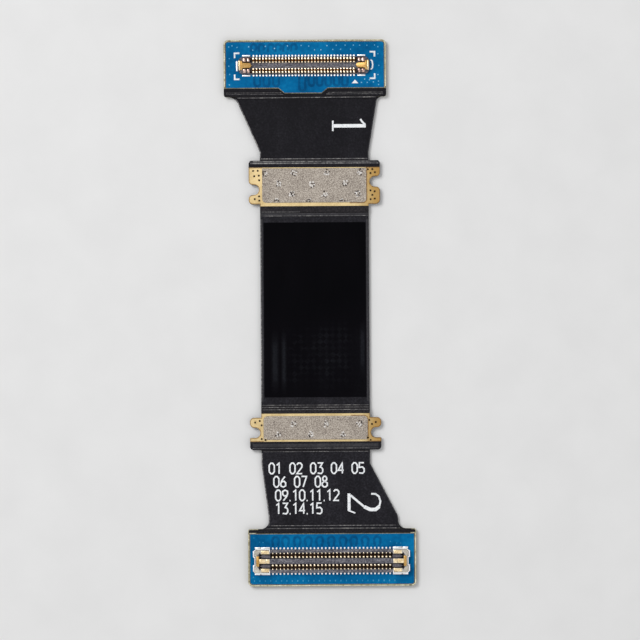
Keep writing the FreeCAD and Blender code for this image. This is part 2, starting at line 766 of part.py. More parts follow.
def make_plug_hold_down(label, side):
    """A folded metal clip at one end: tongue and bar on the block, two arms a side, and solder feet."""
    body = new_body(label, PLUG_X, PLUG_Y, BOARD_FACE)
    outer = f"{PLUG_END} - plug_skirt"
    bar = f"{outer} - hold_bar_length"
    tongue = f"{bar} - hold_tongue_length"
    half = "hold_tongue_width / 2"
    half_bar = "hold_bar_width / 2"
    plan = [
        (outer, half_bar, None),
        (outer, minus(half_bar), None),
        (bar, minus(half_bar), None),
        (bar, minus(half), None),
        (tongue, minus(half), None),
        (f"{tongue} - hold_tip", "0", None),
        (tongue, half, None),
        (bar, half, None),
        (bar, half_bar, None),
    ]
    plan = [(f"{side} * ({across})", along, corner) for across, along, corner in plan]
    add_pad(body, "plan", [plan], "plug_metal", lift="plug_block_height")
    leg_inner = f"{PLUG_EDGE} + fit_clearance"
    leg_outer = f"{leg_inner} + plug_metal"
    arms = []
    for way in ("1", "-1"):
        profile = [
            ("hold_arm_root", "plug_block_height", None),
            ("hold_arm_root", "plug_block_height + plug_metal", None),
            ("plug_block_width / 2 + plug_metal", "plug_block_height + plug_metal", None),
            (leg_outer, "plug_skirt_height + plug_metal", None),
            (leg_outer, "0", None),
            (leg_inner, "0", None),
            (leg_inner, "plug_skirt_height + plug_metal / 2", None),
            ("plug_block_width / 2 + plug_metal / 2", "plug_block_height", None),
        ]
        arms.append([(f"{way} * ({across})", level, corner) for across, level, corner in profile])
    first = f"{side} * ({bar} - hold_arm_start - hold_arm_width / 2)"
    arm = add_pad(body, "arms", arms, "hold_arm_width", "YZ_Plane", first, True)
    arm_row = add_row(body, arm, "hold_arm_pitch", "hold_arm_count")
    arm_row.Reversed = side == "1"
    feet = []
    for way in ("1", "-1"):
        feet.append(
            rectangle(
                f"{side} * ({bar})",
                f"{side} * ({bar} - hold_foot_length)",
                f"{way} * ({leg_inner})",
                f"{way} * hold_foot_reach",
            )
        )
    add_pad(body, "feet", feet, "plug_metal")
    return body


# Socket, drawn from its own middle, on the lower board's face
SOCKET_X = f"{AXIS_X} + lower_board_shift + socket_shift"
SOCKET_Y = f"-({TOP_Y}) + socket_station"
SOCKET_EDGE = "socket_width / 2"
SOCKET_WALL_INNER = f"{SOCKET_EDGE} - socket_wall"
SOCKET_ROW_START = "-socket_pitch * (contact_count - 1) / 2"
SOCKET_ROW_END = f"(socket_row_margin - ({SOCKET_ROW_START}))"
SOCKET_END = f"({SOCKET_ROW_END} + socket_end_length)"


def make_socket_housing():
    """Outer walls and a middle island, with an open slot on each side for the contacts."""
    body = new_body("socket_housing", SOCKET_X, SOCKET_Y, BOARD_FACE)
    corner = "frame_chamfer + frame_metal"
    outline = rectangle(minus(SOCKET_END), SOCKET_END, SOCKET_EDGE, minus(SOCKET_EDGE), corner, corner)
    slots = []
    for side in ("1", "-1"):
        slots.append(
            rectangle(
                minus(SOCKET_ROW_END),
                SOCKET_ROW_END,
                f"{side} * socket_island / 2",
                f"{side} * ({SOCKET_WALL_INNER})",
            )
        )
    height = "socket_height - frame_metal - socket_metal"
    add_pad(body, "walls", [outline] + slots, height, lift="socket_metal")
    top = "socket_height - frame_metal"
    ends = []
    for side in ("1", "-1"):
        for way in ("1", "-1"):
            ends.append(
                rectangle(
                    f"{side} * ({SOCKET_ROW_END} - fit_clearance)",
                    f"{side} * ({SOCKET_END} - socket_end_wall)",
                    f"{way} * socket_island / 2",
                    f"{way} * ({SOCKET_WALL_INNER} - socket_groove)",
                )
            )
    add_pocket(body, "end_wells", ends, "socket_end_depth", top)
    grooves = []
    for side in ("1", "-1"):
        grooves.append(
            rectangle(
                f"{SOCKET_ROW_START} - socket_contact_width / 2 - fit_clearance",
                f"{SOCKET_ROW_START} + socket_contact_width / 2 + fit_clearance",
                f"{side} * ({SOCKET_WALL_INNER} - fit_clearance)",
                f"{side} * ({SOCKET_WALL_INNER} + socket_groove)",
            )
        )
    groove = add_pocket(body, "grooves", grooves, height, top)
    add_row(body, groove, "socket_pitch", "contact_count")
    return body


def make_socket_contacts(label, side):
    """A row of forked springs: tail under the wall, riser in its groove, sprung arm by the island."""
    body = new_body(label, f"{SOCKET_X} + {SOCKET_ROW_START}", SOCKET_Y, BOARD_FACE)
    back = f"{SOCKET_WALL_INNER} + socket_groove"
    front = f"{back} - socket_riser"
    arm = "socket_island / 2 + 2 * fit_clearance"
    tip = "(socket_height - frame_metal)"
    profile = [
        ("socket_reach", "0", None),
        ("socket_reach", "socket_metal", None),
        (back, "socket_metal", None),
        (back, f"{tip} - socket_bump", None),
        (front, f"{tip} - socket_bump", None),
        (front, "socket_metal", None),
        (f"{arm} + socket_spring", "socket_metal", None),
        (f"{arm} + socket_spring + socket_bump", f"{tip} - 2 * socket_spring", None),
        (arm, f"{tip} - socket_bump", None),
        (arm, "0", None),
    ]
    profile = [(f"{side} * ({across})", level, corner) for across, level, corner in profile]
    contact = add_pad(body, "profile", [profile], "socket_contact_width", "YZ_Plane", middle=True)
    add_row(body, contact, "socket_pitch", "contact_count")
    return body


def make_socket_frame(label, side):
    """A metal cap over one end: chamfered back, two arms, a middle tongue, a skirt and solder feet."""
    body = new_body(label, SOCKET_X, SOCKET_Y, BOARD_FACE)
    skirt_inner = f"{SOCKET_END} + fit_clearance"
    outer = f"{skirt_inner} + frame_metal"
    inner = f"{outer} - frame_length"
    edge = f"{SOCKET_EDGE} + fit_clearance + frame_metal"
    arm_edge = f"{edge} - frame_arm"
    bar = f"{outer} - frame_bar"
    half_tongue = "frame_tongue_width / 2"
    half = [
        (bar, half_tongue, None),
        (bar, "frame_bar_width / 2", None),
        (f"{bar} + frame_nick", "frame_bar_width / 2", None),
        (f"{bar} - frame_nick / 2", f"{arm_edge} + frame_nick", None),
        (f"{bar} - frame_nick", arm_edge, None),
        (inner, arm_edge, None),
        (inner, edge, None),
        (f"{outer} - frame_chamfer", edge, None),
        (outer, f"{edge} - frame_chamfer", None),
        (outer, "frame_recess_width / 2", None),
        (f"{outer} - frame_recess", "frame_recess_width / 2", None),
    ]
    mirrored = [(across, minus(along), corner) for across, along, corner in half[::-1]]
    tongue = [(inner, minus(half_tongue), None), (inner, half_tongue, None)]
    plan = [(f"{side} * ({across})", along, corner) for across, along, corner in half + mirrored + tongue]
    add_pad(body, "plan", [plan], "frame_metal", lift="socket_height - frame_metal")
    skirt = []
    for way in ("1", "-1"):
        wall = [
            (inner, edge, None),
            (f"{outer} - frame_chamfer", edge, None),
            (outer, f"{edge} - frame_chamfer", None),
            (outer, "frame_recess_width / 2", None),
            (skirt_inner, "frame_recess_width / 2", None),
            (skirt_inner, f"{edge} - frame_chamfer", None),
            (f"{skirt_inner} - frame_chamfer + frame_metal / 2", f"{edge} - frame_metal", None),
            (inner, f"{edge} - frame_metal", None),
        ]
        skirt.append([(f"{side} * ({across})", f"{way} * ({along})", corner) for across, along, corner in wall])
    add_pad(body, "skirt", skirt, "socket_height - frame_metal / 2")
    feet = []
    corner_foot = f"{outer} - frame_chamfer - frame_foot_corner"
    for way in ("1", "-1"):
        near = f"{way} * ({edge} - frame_metal / 2)"
        far = f"{way} * ({edge} + frame_foot)"
        feet.append(rectangle(f"{side} * ({outer} - frame_chamfer)", f"{side} * ({corner_foot})", near, far))
        feet.append(rectangle(f"{side} * ({corner_foot} - frame_foot_gap)", f"{side} * ({inner})", near, far))
    add_pad(body, "feet", feet, "frame_metal")
    return body


parts = [
    make_ribbon(),
    make_window_film(),
    *make_board_plies(),
    make_upper_mask("upper_board_front_mask", FRONT_FINISH),
    make_upper_mask("upper_board_back_mask", "0"),
    make_upper_band(),
    make_lower_mask("lower_board_front_mask", FRONT_FINISH),
    make_lower_mask("lower_board_back_mask", "0"),
    make_lower_band(),
    make_upper_pad_body(),
    make_lower_pad_body(),
    *make_pad_strips(),
    make_upper_plating(),
    make_lower_plating(),
    *make_pad_bands(),
    *make_patches(),
    make_plug_housing(),
    make_plug_contacts("plug_contacts_top_row", "1"),
    make_plug_contacts("plug_contacts_bottom_row", "-1"),
    make_plug_hold_down("plug_hold_down_left", "-1"),
    make_plug_hold_down("plug_hold_down_right", "1"),
    make_socket_housing(),
    make_socket_contacts("socket_contacts_top_row", "1"),
    make_socket_contacts("socket_contacts_bottom_row", "-1"),
    make_socket_frame("socket_frame_left", "-1"),
    make_socket_frame("socket_frame_right", "1"),
]
doc.recompute()

for item in doc.Objects:
    if "Invalid" in item.State or "Error" in item.State:
        raise RuntimeError(f"{item.Name} failed: {item.State}")
for part in parts:
    if part.Shape.isNull() or not part.Shape.isValid():
        raise RuntimeError(f"{part.Label} has no valid shape")

os.makedirs("parts", exist_ok=True)
for part in parts:
    part.Shape.exportStep(f"parts/{part.Label}.step")
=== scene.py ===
import bmesh
import bpy
import json
import math
import random
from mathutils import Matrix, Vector, noise
from mathutils.bvhtree import BVHTree


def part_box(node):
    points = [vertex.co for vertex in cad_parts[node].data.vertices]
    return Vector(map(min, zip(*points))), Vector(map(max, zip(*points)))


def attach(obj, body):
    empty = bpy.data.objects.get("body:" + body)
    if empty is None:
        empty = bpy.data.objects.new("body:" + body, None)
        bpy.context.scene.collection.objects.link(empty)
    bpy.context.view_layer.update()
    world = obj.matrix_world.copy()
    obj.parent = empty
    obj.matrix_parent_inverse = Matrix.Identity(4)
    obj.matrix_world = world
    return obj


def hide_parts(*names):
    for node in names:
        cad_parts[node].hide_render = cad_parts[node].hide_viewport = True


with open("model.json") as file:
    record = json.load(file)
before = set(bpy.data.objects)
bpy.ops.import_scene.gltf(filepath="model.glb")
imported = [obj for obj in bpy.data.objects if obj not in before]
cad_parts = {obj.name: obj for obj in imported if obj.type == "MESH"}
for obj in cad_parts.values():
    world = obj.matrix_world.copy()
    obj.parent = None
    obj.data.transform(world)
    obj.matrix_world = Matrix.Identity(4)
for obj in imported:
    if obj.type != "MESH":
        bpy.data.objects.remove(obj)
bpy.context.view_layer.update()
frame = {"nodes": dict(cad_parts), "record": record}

# The part lies flat with its connectors up, the plug board at +Y.
# Shapes are written in millimetres and turned into metres when a piece is made.
MM = 0.001
BOARD_FACE = 0.54
PRINT = 0.012
FINE_LINE = 0.006
PATCH_CORNER = 0.37
PLUG = Vector((-1.376, 22.915))
SOCKET = Vector((0.936, -22.955))
SOCKET_TOP = BOARD_FACE + 0.56
CONTACTS = 32
PLUG_PITCH = 0.3
SOCKET_PITCH = 0.35


def show(thing):
    bpy.context.scene.collection.objects.link(thing)


def set_socket(tree, socket, value):
    """Gives an input a value, or joins it to the output of another node."""
    if isinstance(value, bpy.types.NodeSocket):
        tree.links.new(value, socket)
    else:
        socket.default_value = value


def set_inputs(tree, node, **inputs):
    """Sets the inputs of a node, whose names have _ for a space."""
    for name, value in inputs.items():
        set_socket(tree, node.inputs[name.replace("_", " ")], value)
    return node


def add_node(tree, kind, **inputs):
    return set_inputs(tree, tree.nodes.new(f"ShaderNode{kind}"), **inputs)


# Camera and light
def make_camera():
    """A long lens straight above, turned a little so that the cable leans as in the photograph."""
    view_width = 59.26 * MM
    view_middle = -0.657 * MM
    lens = 200.0
    sensor = 36.0
    lean = -0.326
    data = bpy.data.cameras.new("Camera")
    data.lens = lens
    data.sensor_width = sensor
    data.clip_start = 0.01
    data.clip_end = 10
    camera = bpy.data.objects.new("Camera", data)
    distance = view_width * lens / sensor
    camera.location = (0, view_middle, distance + BOARD_FACE * MM)
    camera.rotation_euler = (0, 0, math.radians(lean))
    show(camera)
    bpy.context.scene.camera = camera
    bpy.context.scene.view_settings.view_transform = "Standard"


def make_lamp(name, size, power, place):
    data = bpy.data.lights.new(name, "AREA")
    data.shape = "SQUARE"
    data.size = size
    data.energy = power
    lamp = bpy.data.objects.new(name, data)
    lamp.location = place
    lamp.rotation_euler = (-Vector(place)).to_track_quat("-Z", "Y").to_euler()
    show(lamp)


def make_world():
    """An even studio, which polished metal sees as a bright canopy overhead and dimmer walls."""
    world = bpy.data.worlds.new("Studio")
    bpy.context.scene.world = world
    world.use_nodes = True
    tree = world.node_tree
    path = add_node(tree, "LightPath").outputs
    overhead = add_node(tree, "SeparateXYZ", Vector=add_node(tree, "TexCoord").outputs["Generated"])
    canopy = add_node(
        tree, "MapRange", Value=overhead.outputs["Z"], From_Min=0.55, From_Max=0.95, To_Min=0.3, To_Max=1.0
    )
    mirrored = add_node(tree, "Mix", Factor=path["Is Glossy Ray"], A=0.5, B=canopy.outputs[0])
    strength = add_node(tree, "Mix", Factor=path["Is Camera Ray"], A=mirrored.outputs["Result"], B=0.9)
    set_inputs(tree, tree.nodes["Background"], Color=(1, 1, 1, 1), Strength=strength.outputs["Result"])


def make_floor():
    half = 2.0
    drop = -0.02 * MM
    mesh = bpy.data.meshes.new("floor")
    mesh.from_pydata([(x, y, drop) for x, y in box(-half, half, -half, half)], [], [(0, 1, 2, 3)])
    floor = bpy.data.objects.new("floor", mesh)
    show(floor)
    surface = Surface("floor", Specular_IOR_Level=0.2, Roughness=0.8)
    surface.paint(surface.noise(0.2), (0.3, 0.7), (226, 226, 226), (230, 230, 230))
    mesh.materials.append(surface.material)


# Materials
def linear(colour):
    """An eight bit display colour as the linear values of a shader."""
    values = []
    for channel in colour:
        share = channel / 255
        values.append(share / 12.92 if share <= 0.04045 else ((share + 0.055) / 1.055) ** 2.4)
    return (*values, 1)


class Surface:
    """A procedural material whose textures are laid out in millimetres of the part's own frame."""

    def __init__(self, name, **inputs):
        self.material = bpy.data.materials.new(name)
        self.material.use_nodes = True
        self.tree = self.material.node_tree
        self.shade(**inputs)
        self.place = self.node("TexCoord").outputs["Object"]

    def node(self, kind, **inputs):
        return add_node(self.tree, kind, **inputs)

    def shade(self, **inputs):
        set_inputs(self.tree, self.tree.nodes["Principled BSDF"], **inputs)

    def scaled(self, scale, stretch=(1, 1, 1), turn=0.0):
        """The place on the part, with that many texture units to the millimetre along each axis."""
        steps = [scale * share / MM for share in stretch]
        turned = (0, 0, math.radians(turn))
        return self.node("Mapping", Vector=self.place, Scale=steps, Rotation=turned).outputs["Vector"]

    def noise(self, scale, stretch=(1, 1, 1), detail=3.0):
        """Noise with that many grains to the millimetre along each axis."""
        place = self.scaled(scale, stretch)
        return self.node("TexNoise", Vector=place, Scale=1, Detail=detail).outputs["Fac"]

    def lattice(self, pitch):
        """Squares standing on their corners, that far apart."""
        place = self.scaled(1 / pitch, turn=45)
        black = (0, 0, 0, 1)
        white = (1, 1, 1, 1)
        return self.node("TexChecker", Vector=place, Scale=1, Color1=black, Color2=white).outputs["Fac"]

    def weave(self, pitch):
        """Two crossed sets of threads."""
        threads = math.pi / (10 * pitch * MM)
        bands = []
        for direction in ("X", "Y"):
            wave = self.node("TexWave", Vector=self.place, Scale=threads, Distortion=1.5)
            wave.bands_direction = direction
            bands.append(wave.outputs["Fac"])
        return self.times(*bands)

    def along(self, axis, start, end):
        """Rises from 0 to 1 between two places on an axis."""
        place = self.node("SeparateXYZ", Vector=self.place).outputs[axis]
        return self.remap(place, start * MM, end * MM, 0, 1, "SMOOTHSTEP")

    def hill(self, axis, middle, half, flat=0.0):
        """1 at the middle and as far as flat from it, falling to 0 at half on both sides."""
        before = self.along(axis, middle - half, middle - flat)
        after = self.along(axis, middle + half, middle + flat)
        return self.times(before, after)

    def remap(self, factor, start, end, low, high, kind="LINEAR"):
        node = self.node("MapRange", Value=factor, From_Min=start, From_Max=end, To_Min=low, To_Max=high)
        node.interpolation_type = kind
        return node.outputs[0]

    def math(self, operation, first, second):
        node = self.node("Math")
        node.operation = operation
        for socket, value in zip(node.inputs, (first, second)):
            set_socket(self.tree, socket, value)
        return node.outputs[0]

    def times(self, first, second):
        return self.math("MULTIPLY", first, second)

    def plus(self, first, second):
        return self.math("ADD", first, second)

    def blend(self, first, second, share):
        """The first factor with a share of the second."""
        return self.plus(self.times(first, 1 - share), self.times(second, share))

    def paint(self, factor, places, *colours):
        """Colours the surface by a ramp of display colours at those places."""
        ramp = self.node("ValToRGB", Fac=factor)
        elements = ramp.color_ramp.elements
        while len(elements) < len(places):
            elements.new(0.5)
        for element, place, colour in zip(elements, places, colours):
            element.position = place
            element.color = linear(colour)
        self.shade(Base_Color=ramp.outputs["Color"])

    def finish(self, gloss, low, high, relief, height):
        """Roughness between two values by one factor, and a rise to that many millimetres by another."""
        bump = self.node("Bump", Height=relief, Distance=height * MM)
        self.shade(Roughness=self.remap(gloss, 0.3, 0.7, low, high), Normal=bump.outputs[0])
        return self.material


# Places of three tones on a colour ramp
EVEN = (0.34, 0.5, 0.66)
NARROW = (0.36, 0.5, 0.64)


def make_ribbon_material(name):
    surface = Surface(name, Specular_IOR_Level=0.08)
    grain = surface.noise(7)
    cloud = surface.noise(0.45, (1, 0.5, 1))
    streak = surface.noise(2.2, (1, 0.05, 1))
    tone = surface.blend(surface.blend(grain, cloud, 0.35), streak, 0.1)
    darker_end = surface.times(surface.along("Y", 10, 16), 0.1)
    tone = surface.math("SUBTRACT", tone, darker_end)
    surface.paint(tone, EVEN, (16, 15, 20), (28, 27, 32), (46, 45, 51))
    return surface.finish(streak, 0.36, 0.55, surface.blend(grain, streak, 0.3), 0.003)


def make_film_material(name):
    """Smooth black film, with two long lighter streaks, one faint one and a pressed lattice near one end.
    """
    surface = Surface(name, Specular_IOR_Level=0.02)
    cloud = surface.noise(0.35, (1, 0.4, 1), 2.0)
    grain = surface.noise(6)
    tone = surface.remap(surface.blend(cloud, grain, 0.4), 0.2, 0.8, 0.32, 0.56)
    for middle, half, flat, low, reach, strength in (
        (-4.17, 0.52, 0.1, -4.5, 3.6, 0.24),
        (-3.37, 0.38, 0.05, -4.5, 3.6, 0.24),
        (3.92, 0.34, 0.08, -3.3, 3.0, 0.15),
    ):
        streak = surface.hill("X", middle, half, flat)
        lighter_streak = surface.times(streak, surface.hill("Y", low, reach, reach / 3))
        tone = surface.plus(tone, surface.times(lighter_streak, strength))
    patchy = surface.remap(surface.noise(1.3), 0.4, 0.6, 0.15, 1.0)
    worn = surface.times(patchy, surface.hill("Y", -3.9, 3.8, 1.6))
    worn = surface.times(worn, surface.hill("X", -0.1, 3.4, 2.4))
    pressed = surface.times(surface.lattice(0.42), surface.times(worn, 0.12))
    tone = surface.plus(tone, pressed)
    low_end = surface.times(surface.along("Y", 2, -3), 0.1)
    tone = surface.plus(tone, low_end)
    surface.paint(tone, (0.36, 0.55, 0.68, 0.85), (4, 4, 6), (8, 7, 11), (16, 16, 20), (36, 38, 43))
    return surface.finish(cloud, 0.18, 0.32, tone, 0.004)


def make_mask_material(name, places, *colours):
    """Smooth solder mask, whose coat gives a gloss only at low angles."""
    surface = Surface(name, Specular_IOR_Level=0.03, Coat_Weight=0.4, Coat_Roughness=0.12, Coat_IOR=1.07)
    cloud = surface.noise(0.4, detail=2.0)
    mottle = surface.noise(3.2, detail=4.0)
    surface.paint(surface.blend(cloud, mottle, 0.35), places, *colours)
    return surface.finish(mottle, 0.28, 0.42, surface.blend(surface.weave(0.24), mottle, 0.5), 0.002)


def make_laminate_material(name):
    """Cut glass laminate: pale fibre ends in darker resin."""
    surface = Surface(name, Specular_IOR_Level=0.1)
    grain = surface.noise(7)
    fibre = surface.noise(2.5, (0.25, 1, 1))
    tone = surface.blend(surface.blend(grain, fibre, 0.45), surface.weave(0.2), 0.15)
    surface.paint(tone, (0.26, 0.44, 0.62), (76, 70, 48), (128, 122, 96), (184, 180, 154))
    return surface.finish(grain, 0.5, 0.75, tone, 0.006)


def make_pad_laminate_material(name):
    surface = Surface(name, Specular_IOR_Level=0.08)
    grain = surface.noise(7)
    surface.paint(grain, (0.3, 0.5, 0.7), (26, 25, 27), (38, 36, 39), (56, 53, 55))
    return surface.finish(grain, 0.5, 0.7, grain, 0.003)


def make_metal_material(name, low, high, places, *colours):
    """Plated metal with a fine grain, its roughness between the two values."""
    surface = Surface(name, Metallic=1.0)
    cloud = surface.noise(1.1)
    grain = surface.noise(9)
    surface.paint(surface.blend(cloud, grain, 0.5), places, *colours)
    return surface.finish(grain, low, high, grain, 0.0015)


def make_plating_material(name):
    """Flat gold, paler towards one side of the cable and deep gold towards the other, which is painted
    shade.
    """
    surface = Surface(name, Metallic=1.0)
    cloud = surface.noise(0.8)
    grain = surface.noise(6)
    # Painted shade: the gold turns deep towards +X.
    painted_shade_side = surface.along("X", 3.6, 5.4)
    tone = surface.blend(surface.blend(cloud, grain, 0.45), painted_shade_side, 0.42)
    places = (0.24, 0.38, 0.56, 0.78)
    surface.paint(tone, places, (206, 184, 138), (180, 157, 112), (170, 141, 90), (160, 124, 68))
    return surface.finish(grain, 0.34, 0.5, grain, 0.002)


def make_contact_material(name, middle, reach):
    """Gold plated springs, painted pale as a highlight, and deep gold as painted shade in a band each side
    of the middle.
    """
    surface = Surface(name, Metallic=1.0)
    grain = surface.noise(9)
    half = 0.13
    # Painted shade: deep gold in a band each side of the middle; elsewhere the springs are painted pale as
    # a highlight.
    band = surface.plus(surface.hill("Y", middle + reach, half), surface.hill("Y", middle - reach, half))
    places = (0.12, 0.3, 0.5, 0.8)
    tone = surface.blend(band, grain, 0.2)
    surface.paint(tone, places, (248, 232, 204), (230, 202, 150), (204, 152, 86), (180, 124, 62))
    return surface.finish(grain, 0.2, 0.34, grain, 0.0015)


def make_patch_material(name):
    surface = Surface(name, Metallic=0.2, Specular_IOR_Level=0.3)
    grain = surface.noise(12.5, detail=4.0)
    cloud = surface.noise(0.9)
    tone = surface.blend(grain, cloud, 0.12)
    places = (0.33, 0.44, 0.54, 0.66)
    surface.paint(tone, places, (92, 82, 76), (140, 130, 121), (172, 162, 150), (206, 197, 186))
    return surface.finish(grain, 0.42, 0.6, tone, 0.01)


def make_matt_material(name, scale, level, places, *colours):
    """A matt surface with an even grain, that many grains to the millimetre, and its specular level."""
    surface = Surface(name, Specular_IOR_Level=level)
    grain = surface.noise(scale)
    flow = surface.noise(3, (0.2, 1, 1))
    tone = surface.blend(grain, flow, 0.3)
    surface.paint(tone, places, *colours)
    return surface.finish(grain, 0.42, 0.6, tone, 0.003)


def make_edge_material(name, places, *colours):
    """Painted highlight along the steps where films end and along the cable's edges, brighter in places."""
    surface = Surface(name, Specular_IOR_Level=0.2)
    broken = surface.noise(0.9, (1, 0.3, 1), 4.0)
    grain = surface.noise(6)
    surface.paint(surface.blend(broken, grain, 0.6), places, *colours)
    return surface.finish(grain, 0.35, 0.5, grain, 0.003)


FINISHES = {}


def add_finishes(maker, **rows):
    """Makes a material of each row of values, under the row's name."""
    for name, row in rows.items():
        FINISHES[name] = maker(name, *row)


add_finishes(make_ribbon_material, black_coverlay=())
add_finishes(make_film_material, window_film=())
add_finishes(make_laminate_material, glass_laminate=())
add_finishes(make_pad_laminate_material, pad_laminate=())
add_finishes(make_plating_material, flat_gold=())
add_finishes(make_patch_material, conductive_patch=())
add_finishes(make_contact_material, socket_gold=(SOCKET.y, 0.53), plug_gold=(PLUG.y, 0.455))
add_finishes(
    make_mask_material,
    blue_mask=(EVEN, (2, 84, 134), (3, 101, 155), (10, 120, 174)),
    mask_over_trace=(EVEN, (2, 68, 112), (4, 83, 133), (7, 98, 150)),
    # Painted highlight: covered vias shown lighter than the mask, brighter on the upper board and dimmer on
    # the lower.
    mask_over_via=(EVEN, (76, 156, 200), (116, 184, 218), (172, 214, 236)),
    mask_over_dull_via=(EVEN, (34, 122, 172), (52, 138, 184), (86, 164, 202)),
)
add_finishes(
    make_matt_material,
    grey_polymer=(7, 0.12, NARROW, (64, 63, 72), (98, 97, 105), (136, 134, 140)),
    # Painted shade: a darker polymer where shade falls between and under the contacts.
    shaded_polymer=(7, 0.05, EVEN, (38, 30, 28), (58, 47, 42), (84, 69, 60)),
    rib_polymer=(7, 0.08, EVEN, (76, 72, 76), (96, 92, 98), (124, 118, 122)),
    white_ink=(6, 0.1, (0.34, 0.48, 0.62), (206, 209, 213), (238, 241, 244), (249, 250, 251)),
    # Pale cut edge with a painted highlight on it.
    resin_edge=(5, 0.12, EVEN, (150, 142, 112), (206, 200, 170), (240, 236, 214)),
    # Brown glue with painted shade along the edges of the patches, also used round the ears.
    stained_gold=(7, 0.2, EVEN, (104, 74, 38), (138, 100, 54), (176, 134, 80)),
    # Painted highlight: pale glints on the crumpled patch.
    torn_film=(9, 0.3, EVEN, (186, 180, 174), (214, 209, 204), (238, 235, 232)),
    # Painted shade: dark flecks and lines where shade falls in hollows, in grooves and beside pale edges.
    film_pit=(9, 0.1, EVEN, (40, 34, 31), (62, 54, 50), (96, 86, 80)),
    # Painted shade: near black laid in holes and recesses.
    hole_dark=(9, 0.05, EVEN, (22, 15, 12), (34, 24, 18), (54, 40, 30)),
)
add_finishes(
    make_edge_material,
    # Painted highlight along the film steps and the cable's left edges.
    film_edge=((0.38, 0.5, 0.62), (62, 61, 63), (98, 97, 99), (152, 150, 148)),
    # Dim painted highlight along the cable's right edges and in bands at the steps.
    film_haze=(NARROW, (34, 33, 37), (44, 43, 47), (60, 59, 63)),
)
add_finishes(
    make_metal_material,
    clip_metal=(0.3, 0.45, NARROW, (142, 136, 126), (178, 172, 162), (210, 205, 194)),
    solder=(0.34, 0.48, NARROW, (226, 227, 230), (242, 243, 245), (250, 250, 251)),
    bright_gold=(0.34, 0.5, EVEN, (156, 116, 60), (186, 148, 88), (216, 184, 128)),
    rose_gold=(0.26, 0.42, (0.36, 0.5, 0.62), (128, 96, 88), (196, 164, 152), (242, 222, 212)),
    pale_gold=(0.22, 0.36, EVEN, (196, 168, 124), (226, 204, 162), (246, 232, 206)),
)

# The finish that each of the record's material slots has on the solids
SLOT_FINISHES = {
    "ribbon": "black_coverlay",
    "coverlay": "black_coverlay",
    "film": "window_film",
    "board_laminate": "glass_laminate",
    "pad_laminate": "pad_laminate",
    "solder_mask": "blue_mask",
    "gold_plating": "flat_gold",
    "ground_patch": "conductive_patch",
    "connector_plastic": "grey_polymer",
    "contact_gold": "socket_gold",
    "clip_metal": "clip_metal",
}


# Shapes
def make_ground():
    """The faces of every solid, on which print and lines are laid."""
    points = []
    faces = []
    for node in frame["nodes"].values():
        first = len(points)
        points.extend(vertex.co / MM for vertex in node.data.vertices)
        faces.extend([first + corner for corner in face.vertices] for face in node.data.polygons)
    return BVHTree.FromPolygons(points, faces)


GROUND = make_ground()


def ground(x, y):
    """The height of the highest solid at a place."""
    above = 5.0
    hit = GROUND.ray_cast(Vector((x, y, above)), Vector((0, 0, -1)))
    return hit[0].z if hit[0] else 0.0


def extent(node):
    """The low and high corner of a solid."""
    return [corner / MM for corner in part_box(node)]


class Shape:
    """Points and faces of one piece, in millimetres."""

    def __init__(self):
        self.points = []
        self.faces = []

    def rings(self, rings, capped=True):
        """A skin over rings of equally many points."""
        first = len(self.points)
        count = len(rings[0])
        last = first + (len(rings) - 1) * count
        for ring in rings:
            self.points.extend(ring)
        for row in range(first, last, count):
            for place in range(count):
                near = row + place
                far = row + (place + 1) % count
                self.faces.append((near, far, far + count, near + count))
        if capped:
            self.faces.append(tuple(reversed(range(first, first + count))))
            self.faces.append(tuple(range(last, last + count)))

    def prism(self, outline, low, high, bevel=0.0):
        """An upright prism over an anticlockwise outline, its top edge rounded off by the bevel."""
        rings = [[(x, y, low) for x, y in outline]]
        for turn in (0, 45, 90) if bevel else (0,):
            angle = math.radians(turn)
            level = high - bevel * (1 - math.sin(angle))
            rings.append([(x, y, level) for x, y in offset(outline, bevel * (1 - math.cos(angle)))])
        self.rings(rings)

    def plate(self, sides, centre, side, low, high, bevel=0.0):
        """A block at the right (1) or left (-1) end of a connector, by its sides at the right end."""
        self.prism(beside(box(*sides), centre, side), low, high, bevel)

    def wall(self, outer, inner, low, high, bevel):
        """A wall between two outlines of equally many points, rounded along its top."""
        rings = []
        for line, inset, level in (
            (outer, 0.0, low),
            (outer, 0.0, high - bevel),
            (outer, bevel, high),
            (inner, -bevel, high),
            (inner, 0.0, high - bevel),
            (inner, 0.0, low),
            (outer, 0.0, low),
        ):
            rings.append([(x, y, level) for x, y in offset(line, inset)])
        self.rings(rings, capped=False)

    def beam(self, section, left, right):
        """A beam along X over an upright section of (y, z) points."""
        self.rings([[(x, y, z) for y, z in section] for x in (left, right)])

    def stroke(self, line, width, height):
        """A printed or plated line on top of whatever lies under it, with sloped sides."""
        slope = 0.12
        line = divide([Vector(point) for point in line])
        rings = []
        for middle, (left, right) in zip(line, line_sides(line, width)):
            low = ground(*middle)
            high = low + height
            inner_left = left.lerp(right, slope)
            inner_right = right.lerp(left, slope)
            rings.append([(*right, low), (*inner_right, high), (*inner_left, high), (*left, low)])
        self.rings(rings)

    def drop(self, centre, half_x, half_y, low, high):
        """A low rounded drop, such as solder or a covered via."""
        steps = 10
        rings = []
        for spread, rise in ((1.0, 0.0), (1.0, 0.7), (0.95, 0.93), (0.86, 1.0)):
            level = low + (high - low) * rise
            ring = []
            for step in range(steps):
                angle = 2 * math.pi * step / steps
                across = half_x * spread * math.cos(angle)
                along = half_y * spread * math.sin(angle)
                ring.append((centre[0] + across, centre[1] + along, level))
            rings.append(ring)
        self.rings(rings)


